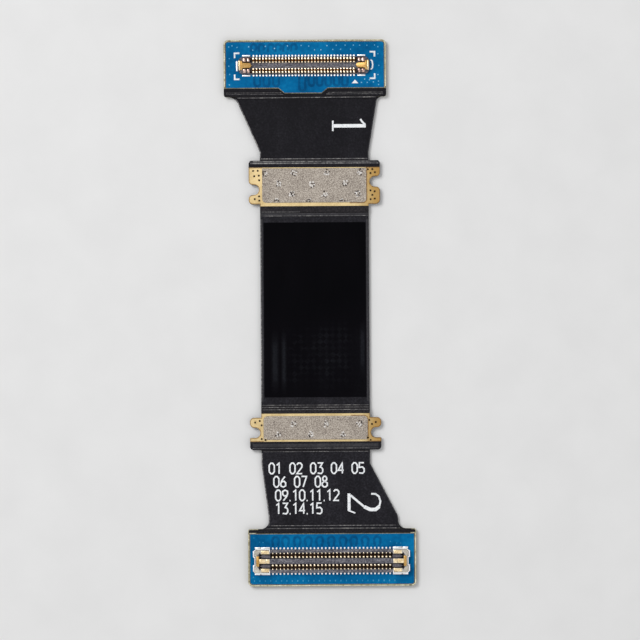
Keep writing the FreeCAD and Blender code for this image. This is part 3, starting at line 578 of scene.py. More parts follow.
def divide(points, longest=0.35):
    """The line with points added so that no run is longer than that."""
    divided = [points[0]]
    for start, end in zip(points, points[1:]):
        runs = max(1, math.ceil((end - start).length / longest))
        divided.extend(start.lerp(end, run / runs) for run in range(1, runs + 1))
    return divided


def offset(outline, distance):
    """The outline moved inwards, for an anticlockwise outline."""
    moved = []
    count = len(outline)
    for place in range(count):
        point = Vector(outline[place])
        into = (point - Vector(outline[place - 1])).normalized()
        out = (Vector(outline[(place + 1) % count]) - point).normalized()
        normal = Vector((-(into.y + out.y), into.x + out.x)).normalized()
        reach = distance / max(normal.dot(Vector((-into.y, into.x))), 0.4)
        moved.append(tuple(point + normal * reach))
    return moved


def line_sides(line, width):
    """The left and right points beside each point of a line."""
    sides = []
    for place, point in enumerate(line):
        into = (point - line[place - 1]).normalized() if place else None
        out = (line[place + 1] - point).normalized() if place < len(line) - 1 else into
        into = into or out
        normal = Vector((-(into.y + out.y), into.x + out.x)).normalized()
        reach = width / 2 / max(normal.dot(Vector((-into.y, into.x))), 0.5)
        sides.append((point + normal * reach, point - normal * reach))
    return sides


def arc(centre, radius, start, end, steps=10, tall=1.0):
    """Points along an arc, by angles in degrees, stretched along Y by the last value."""
    points = []
    for step in range(steps + 1):
        angle = math.radians(start + (end - start) * step / steps)
        points.append((centre[0] + radius * math.cos(angle), centre[1] + tall * radius * math.sin(angle)))
    return points


def rounded(left, right, front, back, corner, steps=6):
    """An anticlockwise rectangle with rounded corners."""
    return (
        arc((right - corner, front + corner), corner, -90, 0, steps)
        + arc((right - corner, back - corner), corner, 0, 90, steps)
        + arc((left + corner, back - corner), corner, 90, 180, steps)
        + arc((left + corner, front + corner), corner, 180, 270, steps)
    )


def beside(outline, centre, side):
    """An outline drawn for the right end of a connector, put at its right (1) or left (-1) end."""
    placed = [(centre.x + side * x, centre.y + y) for x, y in outline]
    return placed if side > 0 else placed[::-1]


def box(near, far, front, back):
    """An anticlockwise rectangle."""
    return [(near, front), (far, front), (far, back), (near, back)]


def both(near, far):
    """The spans between two distances from the middle line, on its +Y and on its -Y side."""
    return ((near, far), (-far, -near))


def top_outlines(node):
    """The lines round the top faces of a solid."""
    mesh = frame["nodes"][node].data
    top = extent(node)[1].z
    sides = set()
    for face in mesh.polygons:
        if abs(face.center.z / MM - top) < 0.001 and face.normal.z > 0.9:
            places = [mesh.vertices[place].co / MM for place in face.vertices]
            corners = [(round(place.x, 4), round(place.y, 4)) for place in places]
            sides.update(zip(corners, corners[1:] + corners[:1]))
    following = {first: second for first, second in sides if (second, first) not in sides}
    lines = []
    while following:
        first, point = following.popitem()
        line = [first]
        while point != first:
            line.append(point)
            point = following.pop(point)
        lines.append(line)
    return lines


def add_runs(shape, line, width, height, wanted):
    """Strokes along those parts of a closed line whose points are wanted."""
    longest_run = 0.25
    longest_gap = 1.0
    points = [Vector(point) for point in line]
    run = []
    for point in divide(points + points[:1], longest_run)[:-1] + [None]:
        inside = point is not None and wanted(point.x, point.y)
        if inside and (not run or (point - run[-1]).length < longest_gap):
            run.append(point)
            continue
        if len(run) > 1:
            shape.stroke(run, width, height)
        run = [point] if inside else []


# Pieces
def settle(mesh):
    """Shades each point as the largest face at it, so that flat faces look flat beside rounded edges."""
    largest = {}
    for face in mesh.polygons:
        for place in face.vertices:
            if face.area > largest.get(place, (0.0, None))[0]:
                largest[place] = (face.area, face.normal.copy())
    sharp = mesh.attributes.get("sharp_edge")
    hard = set()
    for edge in mesh.edges:
        if sharp and sharp.data[edge.index].value:
            hard.update(edge.vertices)
    normals = []
    for face in mesh.polygons:
        for place in face.vertices:
            normal = largest[place][1]
            close = normal.dot(face.normal) > 0.55
            normals.append(tuple(normal if close and place not in hard else face.normal))
    mesh.normals_split_custom_set(normals)


def finish_piece(name, mesh, finish, nodes, angle, flat=False):
    mesh.materials.append(FINISHES[finish])
    mesh.set_sharp_from_angle(angle=math.radians(angle))
    if flat:
        settle(mesh)
    piece = bpy.data.objects.new(name, mesh)
    show(piece)
    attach(piece, "root")
    if nodes:
        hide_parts(*nodes)


def make_piece(name, shape, finish, nodes=(), angle=35):
    mesh = bpy.data.meshes.new(name)
    mesh.from_pydata([Vector(point) * MM for point in shape.points], [], shape.faces)
    working = bmesh.new()
    working.from_mesh(mesh)
    bmesh.ops.recalc_face_normals(working, faces=working.faces)
    for face in working.faces:
        face.smooth = True
    working.to_mesh(mesh)
    working.free()
    finish_piece(name, mesh, finish, nodes, angle)


def soften(node, slot, width):
    """A copy of a solid with its sharp edges rounded, which stands for it."""
    weld = 0.0005 * MM
    weld_after = 0.0003 * MM
    flat = math.radians(0.5)
    sharp_angle = 0.6
    mesh = frame["nodes"][node].data.copy()
    mesh.materials.clear()
    mesh.name = f"{node}_soft"
    working = bmesh.new()
    working.from_mesh(mesh)
    bmesh.ops.remove_doubles(working, verts=working.verts, dist=weld)
    bmesh.ops.dissolve_limit(
        working, angle_limit=flat, verts=working.verts, edges=working.edges, use_dissolve_boundaries=False
    )
    inner_edges = [edge for edge in working.edges if len(edge.link_faces) == 2]
    bmesh.ops.bevel(
        working,
        geom=[edge for edge in inner_edges if edge.calc_face_angle() > sharp_angle],
        offset=width * MM,
        offset_type="OFFSET",
        segments=2,
        profile=0.5,
        affect="EDGES",
        clamp_overlap=True,
    )
    bmesh.ops.remove_doubles(working, verts=working.verts, dist=weld_after)
    for face in working.faces:
        face.smooth = True
    working.to_mesh(mesh)
    working.free()
    finish_piece(f"{node}_soft", mesh, SLOT_FINISHES[slot], [node], 50, True)


def dress_nodes():
    """Gives each solid that is shown its own surface."""
    for row in frame["record"]["subparts"]:
        node = frame["nodes"][row["node"]]
        if not node.material_slots:
            node.data.materials.append(None)
        for place in node.material_slots:
            place.material = FINISHES[SLOT_FINISHES[row["material_slot"]]]


# Contacts
def round_path(path, radius, steps=4):
    """A path in the upright plane with each bend rounded."""
    points = [Vector(path[0])]
    for before, corner, after in zip(path, path[1:], path[2:]):
        corner = Vector(corner)
        to_before = (Vector(before) - corner).normalized()
        to_after = (Vector(after) - corner).normalized()
        half = to_before.angle(to_after) / 2
        room = min((Vector(before) - corner).length, (Vector(after) - corner).length) * 0.49
        reach = min(radius / math.tan(half), room)
        for step in range(steps + 1):
            share = step / steps
            first = corner + to_before * reach * (1 - share)
            second = corner + to_after * reach * share
            points.append(first.lerp(second, share))
    points.append(Vector(path[-1]))
    return points


def add_strip(shape, path, across, centre_y, side, thickness, width):
    """One bent strip of sheet metal, its edges slightly rounded, along a path of (reach, level)."""
    round_edge = min(thickness, width) * 0.22
    half = width / 2
    rings = []
    for upper, lower in line_sides(path, thickness):
        inward = (lower - upper).normalized() * round_edge
        corners = [
            (-half + round_edge, upper),
            (half - round_edge, upper),
            (half, upper + inward),
            (half, lower - inward),
            (half - round_edge, lower),
            (-half + round_edge, lower),
            (-half, lower - inward),
            (-half, upper + inward),
        ]
        rings.append(
            [(across + x, centre_y + side * point.x, BOARD_FACE + point.y) for x, point in corners]
        )
    shape.rings(rings)


def contact_places(centre, pitch):
    return [centre.x + (place - (CONTACTS - 1) / 2) * pitch for place in range(CONTACTS)]


def make_contact_rows(name, centre, pitch, strips):
    for row, side in (("top", 1), ("bottom", -1)):
        shape = Shape()
        for across in contact_places(centre, pitch):
            for path, bend, thickness, width in strips:
                add_strip(shape, round_path(path, bend), across, centre.y, side, thickness, width)
        nodes = [f"{name}_contacts_{row}_row"]
        make_piece(f"{name}_contact_{row}_row", shape, f"{name}_gold", nodes, 50)


def make_contacts():
    """A bent strip in each place of the plug, and a riser with a spring in each place of the socket."""
    strip = [
        (0.985, 0.03), (0.7, 0.03), (0.7, 0.52), (0.55, 0.52), (0.37, 0.33), (0.27, 0.33), (0.24, 0.16)
    ]
    make_contact_rows("plug", PLUG, PLUG_PITCH, [(strip, 0.03, 0.06, 0.16)])
    riser = [(1.24, 0.035), (0.79, 0.035), (0.79, 0.47), (0.69, 0.47), (0.66, 0.05)]
    spring = [(0.70, 0.05), (0.42, 0.05), (0.31, 0.3), (0.32, 0.45), (0.44, 0.45), (0.56, 0.16)]
    strips = [(riser, 0.04, 0.06, 0.11), (spring, 0.04, 0.07, 0.17)]
    make_contact_rows("socket", SOCKET, SOCKET_PITCH, strips)


def make_solder():
    """Rounded solder on every tail, and long fillets on the feet of the clips and caps."""
    shape = Shape()
    low = BOARD_FACE
    for centre, pitch, reach in ((PLUG, PLUG_PITCH, 0.905), (SOCKET, SOCKET_PITCH, 1.175)):
        for across in contact_places(centre, pitch):
            for side in (1, -1):
                shape.drop((across, centre.y + side * reach), 0.092, 0.1, low, low + 0.1)
    for centre, near, far, inner, outer, height, bevel in (
        (PLUG, 4.95, 5.7, 0.85, 0.99, 0.1, 0.03),
        (SOCKET, 5.68, 6.5, 1.13, 1.29, 0.13, 0.04),
        (SOCKET, 6.6, 7.1, 1.13, 1.29, 0.13, 0.04),
        (SOCKET, 7.18, 7.27, 0.34, 0.95, 0.2, 0.03),
    ):
        for side in (1, -1):
            for front, back in both(inner, outer):
                shape.plate((near, far, front, back), centre, side, low, low + height, bevel)
    shape.plate((6.1, 6.26, -0.5, 0.42), PLUG, -1, low, low + 0.08, 0.03)
    make_piece("solder", shape, "solder", (), 30)


# Plug
def make_plug():
    """The plug's moulding: a floor, a low skirt, two ridges for the contacts in a darker polymer that is
    painted shade, and a block at each end.
    """
    floor = BOARD_FACE + 0.17
    half_length = 6.1
    half_width = 0.81
    skirt = 0.08
    corner = 0.55
    left, right = PLUG.x - half_length, PLUG.x + half_length
    front, back = PLUG.y - half_width, PLUG.y + half_width
    outer = rounded(left, right, front, back, corner, 8)
    inner = rounded(left + skirt, right - skirt, front + skirt, back - skirt, corner - skirt, 8)
    housing = Shape()
    housing.prism(outer, BOARD_FACE + 0.06, floor)
    housing.wall(outer, inner, floor, BOARD_FACE + 0.3, 0.02)
    shoulder = rounded(4.98, 6.0, -0.64, 0.64, 0.32)
    for side in (1, -1):
        housing.plate((4.97, 6.02, -0.5, 0.5), PLUG, side, floor, BOARD_FACE + 0.4, 0.03)
        housing.prism(beside(shoulder, PLUG, side), floor, BOARD_FACE + 0.35, 0.03)
        for front, back in both(0.5, 0.72):
            housing.plate((5.68, 5.9, front, back), PLUG, side, floor, BOARD_FACE + 0.36, 0.04)
    make_piece("plug_body", housing, "grey_polymer", ["plug_housing"])
    # The ridges take painted shade: a darker polymer where shade falls between the contacts.
    ridges = Shape()
    half_row = 4.95
    ridge = [(0.67, 0.16), (0.67, 0.33), (0.64, 0.36), (0.57, 0.36), (0.3, 0.18), (0.3, 0.16)]
    gutter = [(0.67, 0.165), (0.728, 0.165), (0.728, 0.175), (0.67, 0.175)]
    for side in (1, -1):
        for section in (ridge, gutter):
            placed = [(PLUG.y + side * y, BOARD_FACE + z) for y, z in section]
            ridges.beam(placed, PLUG.x - half_row, PLUG.x + half_row)
    make_piece("plug_ridges_painted_shade", ridges, "shaded_polymer")


def make_plug_clips():
    """A folded clip at each end: a bar, a tongue with a pointed tip, and two arms a side."""
    recesses = Shape()
    block_top = BOARD_FACE + 0.4
    low = BOARD_FACE + 0.42
    high = BOARD_FACE + 0.48
    tongue = [
        (4.95, -0.2), (5.0, -0.23), (5.66, -0.25), (5.7, -0.44), (5.86, -0.44),
        (5.86, 0.44), (5.7, 0.44), (5.66, 0.25), (5.0, 0.23), (4.95, 0.2), (4.81, 0.0),
    ]
    fold = round_path([(0.36, 0.43), (0.44, 0.44), (0.66, 0.4), (0.7, 0.18)], 0.05)
    for name, side in (("left", -1), ("right", 1)):
        # Painted shade: dark plates on the blocks where the recesses between the arms lie in shade.
        for front, back in both(0.24, 0.4):
            recesses.plate((5.02, 5.64, front, back), PLUG, side, block_top - 0.01, block_top + 0.008)
        plate = Shape()
        plate.prism(beside(tongue, PLUG, side), low, high, 0.025)
        nodes = [f"plug_hold_down_{name}"]
        make_piece(f"plug_tongue_{name}", plate, "bright_gold", nodes, 50)
        bar = Shape()
        bar.plate((5.87, 6.02, -0.46, 0.46), PLUG, side, BOARD_FACE + 0.3, high + 0.01, 0.035)
        make_piece(f"plug_bar_{name}", bar, "pale_gold", (), 50)
        arms = Shape()
        for across, width in ((5.5, 0.27), (5.13, 0.22)):
            for way in (1, -1):
                add_strip(arms, fold, PLUG.x + side * across, PLUG.y, way, 0.06, width)
        make_piece(f"plug_arms_{name}", arms, "rose_gold", (), 50)
    make_piece("plug_recess_shade", recesses, "hole_dark")


# Socket
def make_socket_details():
    """Dark floors of painted shade under the contacts and in the end wells, ribs in the end wells, and
    pressed gold on the end caps.
    """
    floors = Shape()
    ribs = Shape()
    half_row = 5.645
    well = BOARD_FACE + 0.15
    rib = [(5.66, 0.3), (6.34, 0.3), (6.62, 0.44), (6.34, 0.6), (5.66, 0.56)]
    # Painted shade: dark sheets where the slots under the contacts and the floors of the end wells lie in
    # shade.
    for front, back in both(0.245, 0.765):
        slot = box(SOCKET.x - half_row, SOCKET.x + half_row, SOCKET.y + front, SOCKET.y + back)
        floors.prism(slot, BOARD_FACE + 0.02, BOARD_FACE + 0.1)
    for side in (1, -1):
        for front, back in both(0.245, 0.705):
            floors.plate((5.66, 6.68, front, back), SOCKET, side, well, well + 0.012)
        for placed in (rib, [(x, -y) for x, y in rib[::-1]]):
            ribs.prism(beside(placed, SOCKET, side), well, BOARD_FACE + 0.5, 0.03)
    make_piece("socket_floor_shade", floors, "shaded_polymer")
    make_piece("socket_ribs", ribs, "rib_polymer")
    low = SOCKET_TOP - 0.01
    bar = [(6.69, -0.46), (6.78, -0.5), (6.95, -0.44), (6.95, 0.44), (6.78, 0.5), (6.69, 0.46)]
    for name, side in (("left", -1), ("right", 1)):
        gold = Shape()
        gold.prism(beside(bar, SOCKET, side), low, SOCKET_TOP + 0.014, 0.01)
        make_piece(f"socket_bar_{name}", gold, "bright_gold", (), 50)
        arms = Shape()
        arms.plate((6.1, 6.68, -0.2, 0.2), SOCKET, side, low, SOCKET_TOP + 0.012, 0.01)
        arms.plate((5.74, 6.06, -0.19, 0.19), SOCKET, side, low, SOCKET_TOP + 0.012, 0.01)
        for front, back in both(0.68, 0.99):
            arms.plate((5.76, 6.5, front, back), SOCKET, side, low, SOCKET_TOP + 0.016, 0.012)
        make_piece(f"socket_arms_{name}", arms, "pale_gold", (), 50)


# Printed marks and covered copper
def make_marks():
    """Corner marks round the plug, a bar beside its end and a small triangle."""
    shape = Shape()
    arm = 0.45
    for left, top, across, along in (
        (-7.77, 24.08, arm, -arm),
        (-7.77, 21.67, arm, arm),
        (5.18, 24.16, -arm, -arm),
        (5.19, 21.7, -arm, arm),
    ):
        shape.stroke([(left + across, top), (left, top), (left, top + along)], 0.15, PRINT)
    shape.stroke([(4.82, 23.42), (4.96, 23.3), (5.02, 22.98), (4.98, 22.68), (4.83, 22.52)], 0.13, PRINT)
    shape.prism([(3.06, 21.25), (3.67, 21.25), (3.37, 21.59)], BOARD_FACE, BOARD_FACE + PRINT, 0.004)
    make_piece("board_marks", shape, "white_ink")


# Strokes of each figure, on a field one unit high
DIGITS = {
    "0": [
        [(0, 0.2), (0, 0.8), (0.16, 1), (0.32, 1), (0.48, 0.8), (0.48, 0.2), (0.32, 0), (0.16, 0), (0, 0.2)]
    ],
    "1": [[(0.06, 0.8), (0.28, 1), (0.28, 0)]],
    "2": [[(0, 0.84), (0.14, 1), (0.34, 1), (0.48, 0.84), (0.48, 0.62), (0, 0), (0.5, 0)]],
    "3": [[(0, 1), (0.46, 1), (0.24, 0.6), (0.36, 0.58), (0.48, 0.42), (0.48, 0.16), (0.34, 0), (0, 0.04)]],
    "4": [[(0.38, 0), (0.38, 1), (0, 0.3), (0.5, 0.3)]],
    "5": [[(0.46, 1), (0.04, 1), (0, 0.56), (0.32, 0.6), (0.48, 0.44), (0.48, 0.16), (0.34, 0), (0, 0.04)]],
    "6": [
        [
            (0.4, 1), (0.1, 0.62), (0, 0.34), (0.02, 0.1), (0.24, 0),
            (0.46, 0.12), (0.46, 0.42), (0.3, 0.56), (0.1, 0.5),
        ]
    ],
    "7": [[(0, 1), (0.48, 1), (0.16, 0)]],
    "8": [
        [
            (0.24, 0.54), (0.06, 0.66), (0.06, 0.86), (0.17, 1),
            (0.31, 1), (0.42, 0.86), (0.42, 0.66), (0.24, 0.54),
        ],
        [
            (0.24, 0.54), (0, 0.36), (0, 0.15), (0.14, 0),
            (0.34, 0), (0.48, 0.15), (0.48, 0.36), (0.24, 0.54),
        ],
    ],
    "9": [
        [
            (0.08, 0), (0.38, 0.38), (0.48, 0.66), (0.46, 0.9), (0.24, 1),
            (0.02, 0.88), (0.02, 0.58), (0.18, 0.44), (0.38, 0.5),
        ]
    ],
    ".": [[(0.0, 0.0), (0.1, 0.0)]],
}


def make_small_numbers():
    """Four lines of plain counting numbers on the lower neck."""
    shape = Shape()
    height = 0.98
    pitch = 0.64
    dot_pitch = 0.3
    for words, left, base in (
        ("01 02 03 04 05", -4.78, -14.88),
        ("06 07 08", -4.36, -16.12),
        ("09.10.11.12", -4.2, -17.38),
        ("13.14.15", -4.2, -18.6),
    ):
        place = left
        for digit in words:
            for line in DIGITS.get(digit, []):
                shape.stroke([(place + x * height, base + y * height) for x, y in line], 0.135, PRINT)
            place += dot_pitch if digit == "." else pitch
    make_piece("small_numbers", shape, "white_ink")


def make_large_numerals():
    """One large numeral on each neck, lying on its side, as serif print with thick and thin strokes."""
    shape = Shape()
    one = (1.22, 18.1)
    two = (2.45, -16.62)
    bowl = [
        (0.16, 2.2), (0.18, 2.6), (0.42, 2.92), (0.86, 3.05), (1.34, 2.95), (1.62, 2.6),
        (1.62, 2.1), (1.36, 1.55), (0.86, 0.95), (0.3, 0.3),
    ]
    for (left, top), points, width in (
        (one, [(0.78, 0.1), (0.78, 3.12)], 0.32),
        (one, [(0.3, 0.07), (1.26, 0.07)], 0.15),
        (one, [(0.66, 3.06), (0.4, 2.78), (0.16, 2.62)], 0.17),
        (two, bowl[:5], 0.17),
        (two, bowl[4:8], 0.32),
        (two, bowl[7:], 0.2),
        (two, [(0.12, 0.15), (1.72, 0.15)], 0.28),
        (two, [(1.7, 0.1), (1.94, 0.72)], 0.14),
    ):
        # Upright figures, turned a quarter clockwise about their upper left corner
        shape.stroke([(left + y, top - x) for x, y in points], width, PRINT)
    make_piece("large_numerals", shape, "white_ink")


UPPER_VIAS = [
    (-8.31, 24.67), (-8.0, 24.77), (-7.54, 24.62), (-6.46, 24.67), (-6.08, 24.36), (-4.92, 24.71),
    (-4.07, 24.51), (-2.87, 24.74), (-1.6, 24.77), (-0.9, 24.71), (-0.37, 24.36), (0.22, 24.36),
    (0.79, 24.74), (1.33, 24.39), (1.65, 24.78), (2.04, 24.4), (2.47, 24.78), (2.96, 24.4),
    (3.23, 24.78), (3.82, 24.77), (4.49, 24.76), (5.19, 24.78), (5.5, 24.62), (5.5, 23.97),
    (5.58, 22.89), (5.5, 22.04), (5.53, 21.43), (5.07, 21.36), (4.7, 21.56), (4.26, 21.63),
    (4.5, 21.32), (3.96, 21.32), (4.98, 21.78), (5.55, 21.12), (-8.27, 23.59), (-8.31, 22.89),
    (-8.24, 22.12), (-8.27, 21.16), (-7.31, 21.63),
]
LOWER_VIAS = [
    (-6.24, -20.81), (-5.7, -21.2), (-5.39, -21.24), (-6.3, -24.44), (6.99, -21.36), (7.35, -21.36),
    (6.4, -21.2), (8.2, -22.6),
]
LOWER_VIA_ROW = [(-6.2 + 0.5 * place, -24.8) for place in range(27)]


def make_traces():
    """Loops of copper that show darker through the mask, and covered vias painted lighter as a highlight on
    the mask over them.
    """
    traces = Shape()
    lines = []
    for x in (-4.24, -3.31, -2.22, -1.2, -0.15, 0.93, 2.01, 3.0, 4.07, 5.18):
        lines.append([(x - 0.2, -21.62)] + arc((x, -21.08), 0.31, 200, -20, 12, 1.15) + [(x + 0.2, -21.62)])
    for x in (-6.0, -5.27, -4.41, -3.73, -3.02, -2.29):
        lines.append([(x - 0.26, 24.2)] + arc((x, 24.62), 0.26, 180, -60, 10, 1.1))
    legs = [(x, 21.3, 0.28) for x in (-5.69, -4.84, -3.95)] + [(-1.52, 20.85, 0.28)]
    legs += [(x, 21.3, 0.26) for x in (-0.67, 0.1, 0.88, 1.66, 2.42)]
    for x, low, half in legs:
        lines.append([(x - half, 21.88)] + arc((x, low), half, 180, 360) + [(x + half, 21.82)])
    for line in lines:
        traces.stroke(line, 0.23, 0.004)
    make_piece("covered_traces", traces, "mask_over_trace")
    half = 0.055
    for name, finish, groups in (
        ("upper", "mask_over_via", ((UPPER_VIAS, half),)),
        ("lower", "mask_over_dull_via", ((LOWER_VIAS, half), (LOWER_VIA_ROW, 0.09))),
    ):
        vias = Shape()
        for places, tall in groups:
            for place in places:
                vias.drop(place, half, tall, BOARD_FACE, BOARD_FACE + PRINT)
                vias.drop(place, half, half, 0.0, -PRINT)
        make_piece(f"{name}_via_highlights", vias, finish)


EAR_VIAS = [
    (-6.11, 13.18), (-5.69, 13.19), (-6.02, 12.69), (-5.59, 12.74), (-5.56, 12.31), (-5.57, 10.82),
    (-5.98, 10.57), (-5.56, 10.43), (4.5, 13.28), (4.92, 13.29), (4.75, 12.92), (5.16, 13.0),
    (4.74, 11.32), (5.13, 11.23), (4.91, 10.9), (5.13, 10.56), (4.75, 10.5), (-6.06, -10.12),
    (-5.63, -9.98), (-5.46, -10.38), (-5.46, -11.65), (-5.1, -11.73), (4.5, -9.94), (4.76, -10.31),
    (5.11, -10.13), (4.37, -11.57), (4.63, -11.79),
]


def make_ear_vias():
    """Plated holes in the gold ears: a gold rim round a hole, shown as a dark disc of painted shade."""
    rims = Shape()
    holes = Shape()
    sunk = -0.015
    proud = 0.008
    for centre in EAR_VIAS:
        low = ground(*centre)
        rings = []
        for radius, level in ((0.13, sunk), (0.12, proud), (0.098, proud), (0.088, sunk), (0.13, sunk)):
            rings.append([(x, y, low + level) for x, y in arc(centre, radius, 0, 360, 16)[:-1]])
        rims.rings(rings, capped=False)
        # Painted shade: a dark disc for the shade inside the hole.
        holes.prism(arc(centre, 0.092, 0, 360, 12)[:-1], low + sunk, low + 0.003)
    make_piece("via_rims", rims, "flat_gold")
    make_piece("via_hole_shade", holes, "hole_dark")


# Edges
def make_film_edges():
    """Painted highlights as light broken lines where films end and along the cable's left edges, and duller
    bands and right edges of dim painted highlight.
    """
    bright = Shape()
    dull = Shape()
    for left, right, y, width in (
        (-8.6, -3.45, 20.4, 0.035),
        (-8.6, -3.3, 20.26, 0.035),
        (0.85, 5.95, 20.42, 0.035),
        (0.7, 5.95, 20.27, 0.035),
        (-5.42, 4.5, 14.29, 0.08),
        (-6.1, 5.35, 14.03, 0.06),
        (-6.4, 5.5, 13.87, 0.1),
        (-5.4, -1.8, 9.36, 0.05),
        (-5.42, 4.5, 9.0, 0.05),
        (-5.42, 4.5, -8.53, 0.045),
        (-5.42, 4.5, -8.73, 0.05),
        (-5.42, 4.5, -8.95, 0.05),
        (-6.3, 5.35, -12.52, 0.04),
        (-5.3, 4.4, -12.84, 0.045),
        (-4.95, 7.2, -19.69, 0.06),
        (-5.05, 7.3, -19.95, 0.07),
    ):
        bright.stroke([(left, y), (right, y)], width, PRINT)
    bright.stroke([(-7.55, 19.93), (5.3, 19.99)], 0.08, PRINT)
    # Bands of dim painted highlight at the steps and beside the window.
    for left, right, y, width in (
        (-6.4, 5.5, 13.95, 0.34),
        (-5.42, 4.5, 9.15, 0.2),
        (-6.3, 5.35, -12.25, 0.3),
    ):
        dull.stroke([(left, y), (right, y)], width, PRINT / 2)
    for x, width in ((-5.34, 0.2), (4.42, 0.18)):
        dull.stroke([(x, -8.2), (x, 8.7)], width, PRINT / 2)

    def is_open(y):
        return any(low < y < high for low, high in ((-19.6, -12.9), (-8.4, 8.9), (14.4, 19.85)))

    # Painted highlight along the cable's edges: bright on the left side, dim on the right.
    for line in top_outlines("flex_ribbon"):
        inner = offset(line, 0.05)
        add_runs(bright, inner, 0.1, PRINT, lambda x, y: x < -1 and is_open(y))
        add_runs(dull, inner, 0.1, PRINT, lambda x, y: x >= -1 and is_open(y))
    make_piece("film_edges", bright, "film_edge")
    make_piece("film_dim_highlights", dull, "film_haze")


def is_bare(level):
    """A test that a place has nothing above that level."""
    return lambda x, y: abs(ground(x, y) - level) < 0.004


def make_board_rims():
    """The pale cut edge of the boards brightened as a painted highlight, with a dark line of painted shade
    inside it, and the same pale edge on the lower band's ends.
    """
    cream = Shape()
    shade_line = Shape()
    for node in ("upper_board_front_ply", "lower_board_front_ply"):
        bare = is_bare(extent(node)[1].z)
        for line in top_outlines(node):
            # A pale line of painted highlight on the cut edge, and a dark line of painted shade inside it.
            add_runs(cream, offset(line, 0.07), 0.09, FINE_LINE, bare)
            add_runs(shade_line, offset(line, 0.155), 0.04, 0.004, bare)
    make_piece("board_edge_shade", shade_line, "film_pit")
    low, high = extent("lower_board_coverlay")
    for line in top_outlines("lower_board_coverlay"):
        inner = offset(line, 0.03)
        add_runs(cream, inner, 0.05, FINE_LINE, lambda x, y: x < low.x + 1.0 or x > high.x - 0.6)
    make_piece("board_rim_highlights", cream, "resin_edge")


def make_cap_rims():
    """A painted highlight of white metal along the outer edge of the socket's caps, with a groove inside it
    drawn as a dark line of painted shade.
    """
    bright = Shape()
    groove = Shape()

    def at_rim(x, y):
        return abs(y - SOCKET.y) > 0.9 or abs(x - SOCKET.x) > 7.0

    for node in ("socket_frame_left", "socket_frame_right"):
        for line in top_outlines(node):
            # Painted highlight along the rim, and painted shade for the groove.
            add_runs(bright, offset(line, 0.04), 0.07, 0.008, at_rim)
            add_runs(groove, offset(line, 0.1), 0.03, FINE_LINE, at_rim)
    make_piece("socket_cap_rim_highlights", bright, "solder", (), 30)
    make_piece("socket_cap_groove_shade", groove, "film_pit")


def make_glue_and_shade_lines():
    """Brown lines at one rounded corner of each patch, glue with painted shade at the patch's edge, and
    round the ears.
    """
    stain = Shape()
    gap = 0.04
    reach = 1.6
    for name, start in (("upper", -90), ("lower", 0)):
        low, high = extent(f"{name}_ground_patch")
        right = high.x + gap
        front, back = low.y - gap, high.y + gap
        turn_y = front + PATCH_CORNER if start < 0 else back - PATCH_CORNER
        line = arc((right - PATCH_CORNER, turn_y), PATCH_CORNER, start, start + 90, 6)
        if start < 0:
            line = [(right - reach, front)] + line + [(right, back)]
        else:
            line = [(right, front)] + line + [(right - reach, back)]
        # Glue with painted shade along the patch's edge.
        stain.stroke(line, 0.07, FINE_LINE)
    for node in ("upper_pad_plating", "lower_pad_plating"):
        for line in top_outlines(node):
            add_runs(stain, offset(line, 0.045), 0.05, FINE_LINE, lambda x, y: x < -5.2 or x > 4.3)
    make_piece("glue_and_shade_lines", stain, "stained_gold")


# Ground patches
def make_patch(name, dots, seed, far_end):
    """A pressed conductive patch: a fine sheet with crumpled needle marks and one end's corners rounded."""
    node = f"{name}_ground_patch"
    low, high = extent(node)
    columns, rows = 320, 100
    reach_of_dot = 0.36
    edge_width = 0.06
    edge_drop = 0.03
    face = high.z - 0.012
    rings = []
    for row in range(rows + 1):
        y = low.y + (high.y - low.y) * row / rows
        ring = []
        short = max(0.0, PATCH_CORNER - (high.y - y if far_end else y - low.y))
        left = low.x + PATCH_CORNER - math.sqrt(PATCH_CORNER**2 - short**2)
        right = high.x + low.x - left
        for column in range(columns + 1):
            x = left + (right - left) * column / columns
            edge = min(x - left, right - x, y - low.y, high.y - y)
            level = face - edge_drop * max(0.0, 1 - edge / edge_width) ** 2
            for centre in dots:
                reach = math.hypot(x - centre[0], y - centre[1])
                if reach < reach_of_dot:
                    fade = 1 - (reach / reach_of_dot) ** 2
                    crease = noise.noise(Vector((x * 8, y * 8, seed)))
                    crease += 0.5 * noise.noise(Vector((x * 17, y * 17, seed)))
                    level += fade * 0.04 * crease
            ring.append((x, y, min(max(level, low.z + 0.01), high.z + 0.02)))
        ring.extend([(right, y, low.z), (left, y, low.z)])
        rings.append(ring)
    sheet = Shape()
    sheet.rings(rings)
    make_piece(f"{name}_patch_sheet", sheet, "conductive_patch", [node], 60)


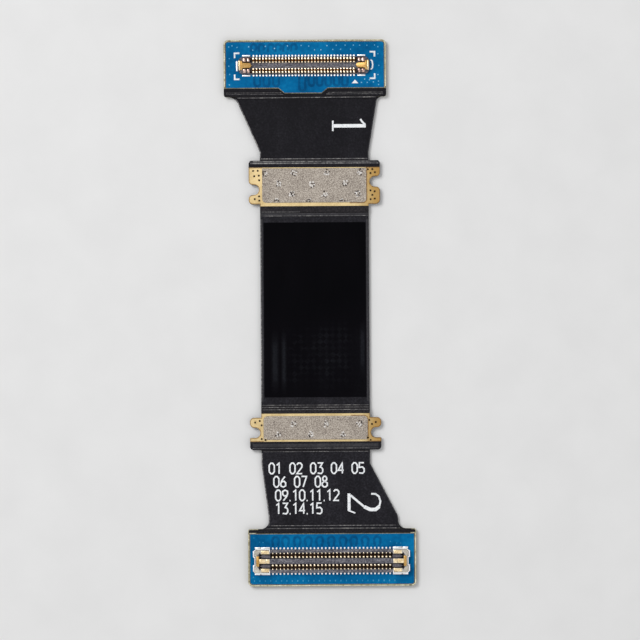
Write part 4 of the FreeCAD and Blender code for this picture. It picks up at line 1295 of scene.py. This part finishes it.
def make_dot_flecks(name, dots):
    """Pale flecks of painted glint and dark flecks of painted shade round each needle mark, away from the
    edges of the patch.
    """
    low, high = extent(f"{name}_ground_patch")
    middle = (low + high) / 2
    half = (high - low) / 2
    face = high.z - 0.012
    draw = random.Random(11)
    flecks = Shape()
    shade_flecks = Shape()
    for centre in dots:
        # Pale flecks are painted glints and dark ones painted shade, where the crumpled needle marks catch
        # light or lie in shade.
        for shape, count, size, lift, margin in (
            (flecks, 7, 0.1, 0.032, 0.24),
            (shade_flecks, 6, 0.09, 0.03, 0.09),
        ):
            for place in range(count):
                turn = 2 * math.pi * (place + draw.uniform(-0.4, 0.4)) / count
                reach = draw.uniform(0.08, 0.3)
                x = centre[0] + reach * math.cos(turn)
                y = centre[1] + reach * math.sin(turn)
                ring = []
                for corner in range(6):
                    angle = math.pi / 3 * corner
                    radius = size * draw.uniform(0.5, 1.25)
                    ring.append((x + radius * math.cos(angle), y + radius * math.sin(angle)))
                if abs(y - middle.y) > half.y - margin or abs(x - middle.x) > half.x - margin:
                    continue
                shape.prism(ring, face - 0.03, face + lift * draw.uniform(0.5, 1.0), 0.004)
    make_piece(f"{name}_patch_glints", flecks, "torn_film")
    make_piece(f"{name}_patch_shade_flecks", shade_flecks, "film_pit")


UPPER_DOTS = [
    (-2.32, 13.02), (0.66, 13.01), (3.75, 13.01), (-3.76, 11.98), (-0.7, 11.89), (2.4, 12.0),
    (-2.49, 11.01), (0.51, 10.97), (3.55, 11.0), (-3.96, 10.32), (-1.01, 10.33), (2.06, 10.33),
    (-5.05, 12.94),
]
LOWER_DOTS = [
    (-2.52, -10.24), (0.51, -10.25), (3.6, -10.25), (-3.96, -11.29), (-0.9, -11.28), (2.07, -11.28),
]

make_camera()
make_world()
make_lamp("key", 0.16, 0.75, (-0.16, 0.14, 0.32))
make_lamp("fill", 0.3, 0.15, (0.2, -0.14, 0.28))
make_floor()
dress_nodes()
for node, slot, width in (
    ("upper_pad_plating", "gold_plating", 0.02),
    ("lower_pad_plating", "gold_plating", 0.02),
    ("socket_housing", "connector_plastic", 0.015),
    ("socket_frame_left", "clip_metal", 0.02),
    ("socket_frame_right", "clip_metal", 0.02),
    ("upper_board_front_mask", "solder_mask", 0.012),
    ("lower_board_front_mask", "solder_mask", 0.012),
):
    soften(node, slot, width)
make_plug()
make_plug_clips()
make_socket_details()
make_contacts()
make_solder()
make_marks()
make_small_numbers()
make_large_numerals()
make_traces()
make_ear_vias()
make_film_edges()
make_board_rims()
make_cap_rims()
make_glue_and_shade_lines()
for name, dots, seed, far_end in (("upper", UPPER_DOTS, 3.0, False), ("lower", LOWER_DOTS, 8.0, True)):
    make_patch(name, dots, seed, far_end)
    make_dot_flecks(name, dots)
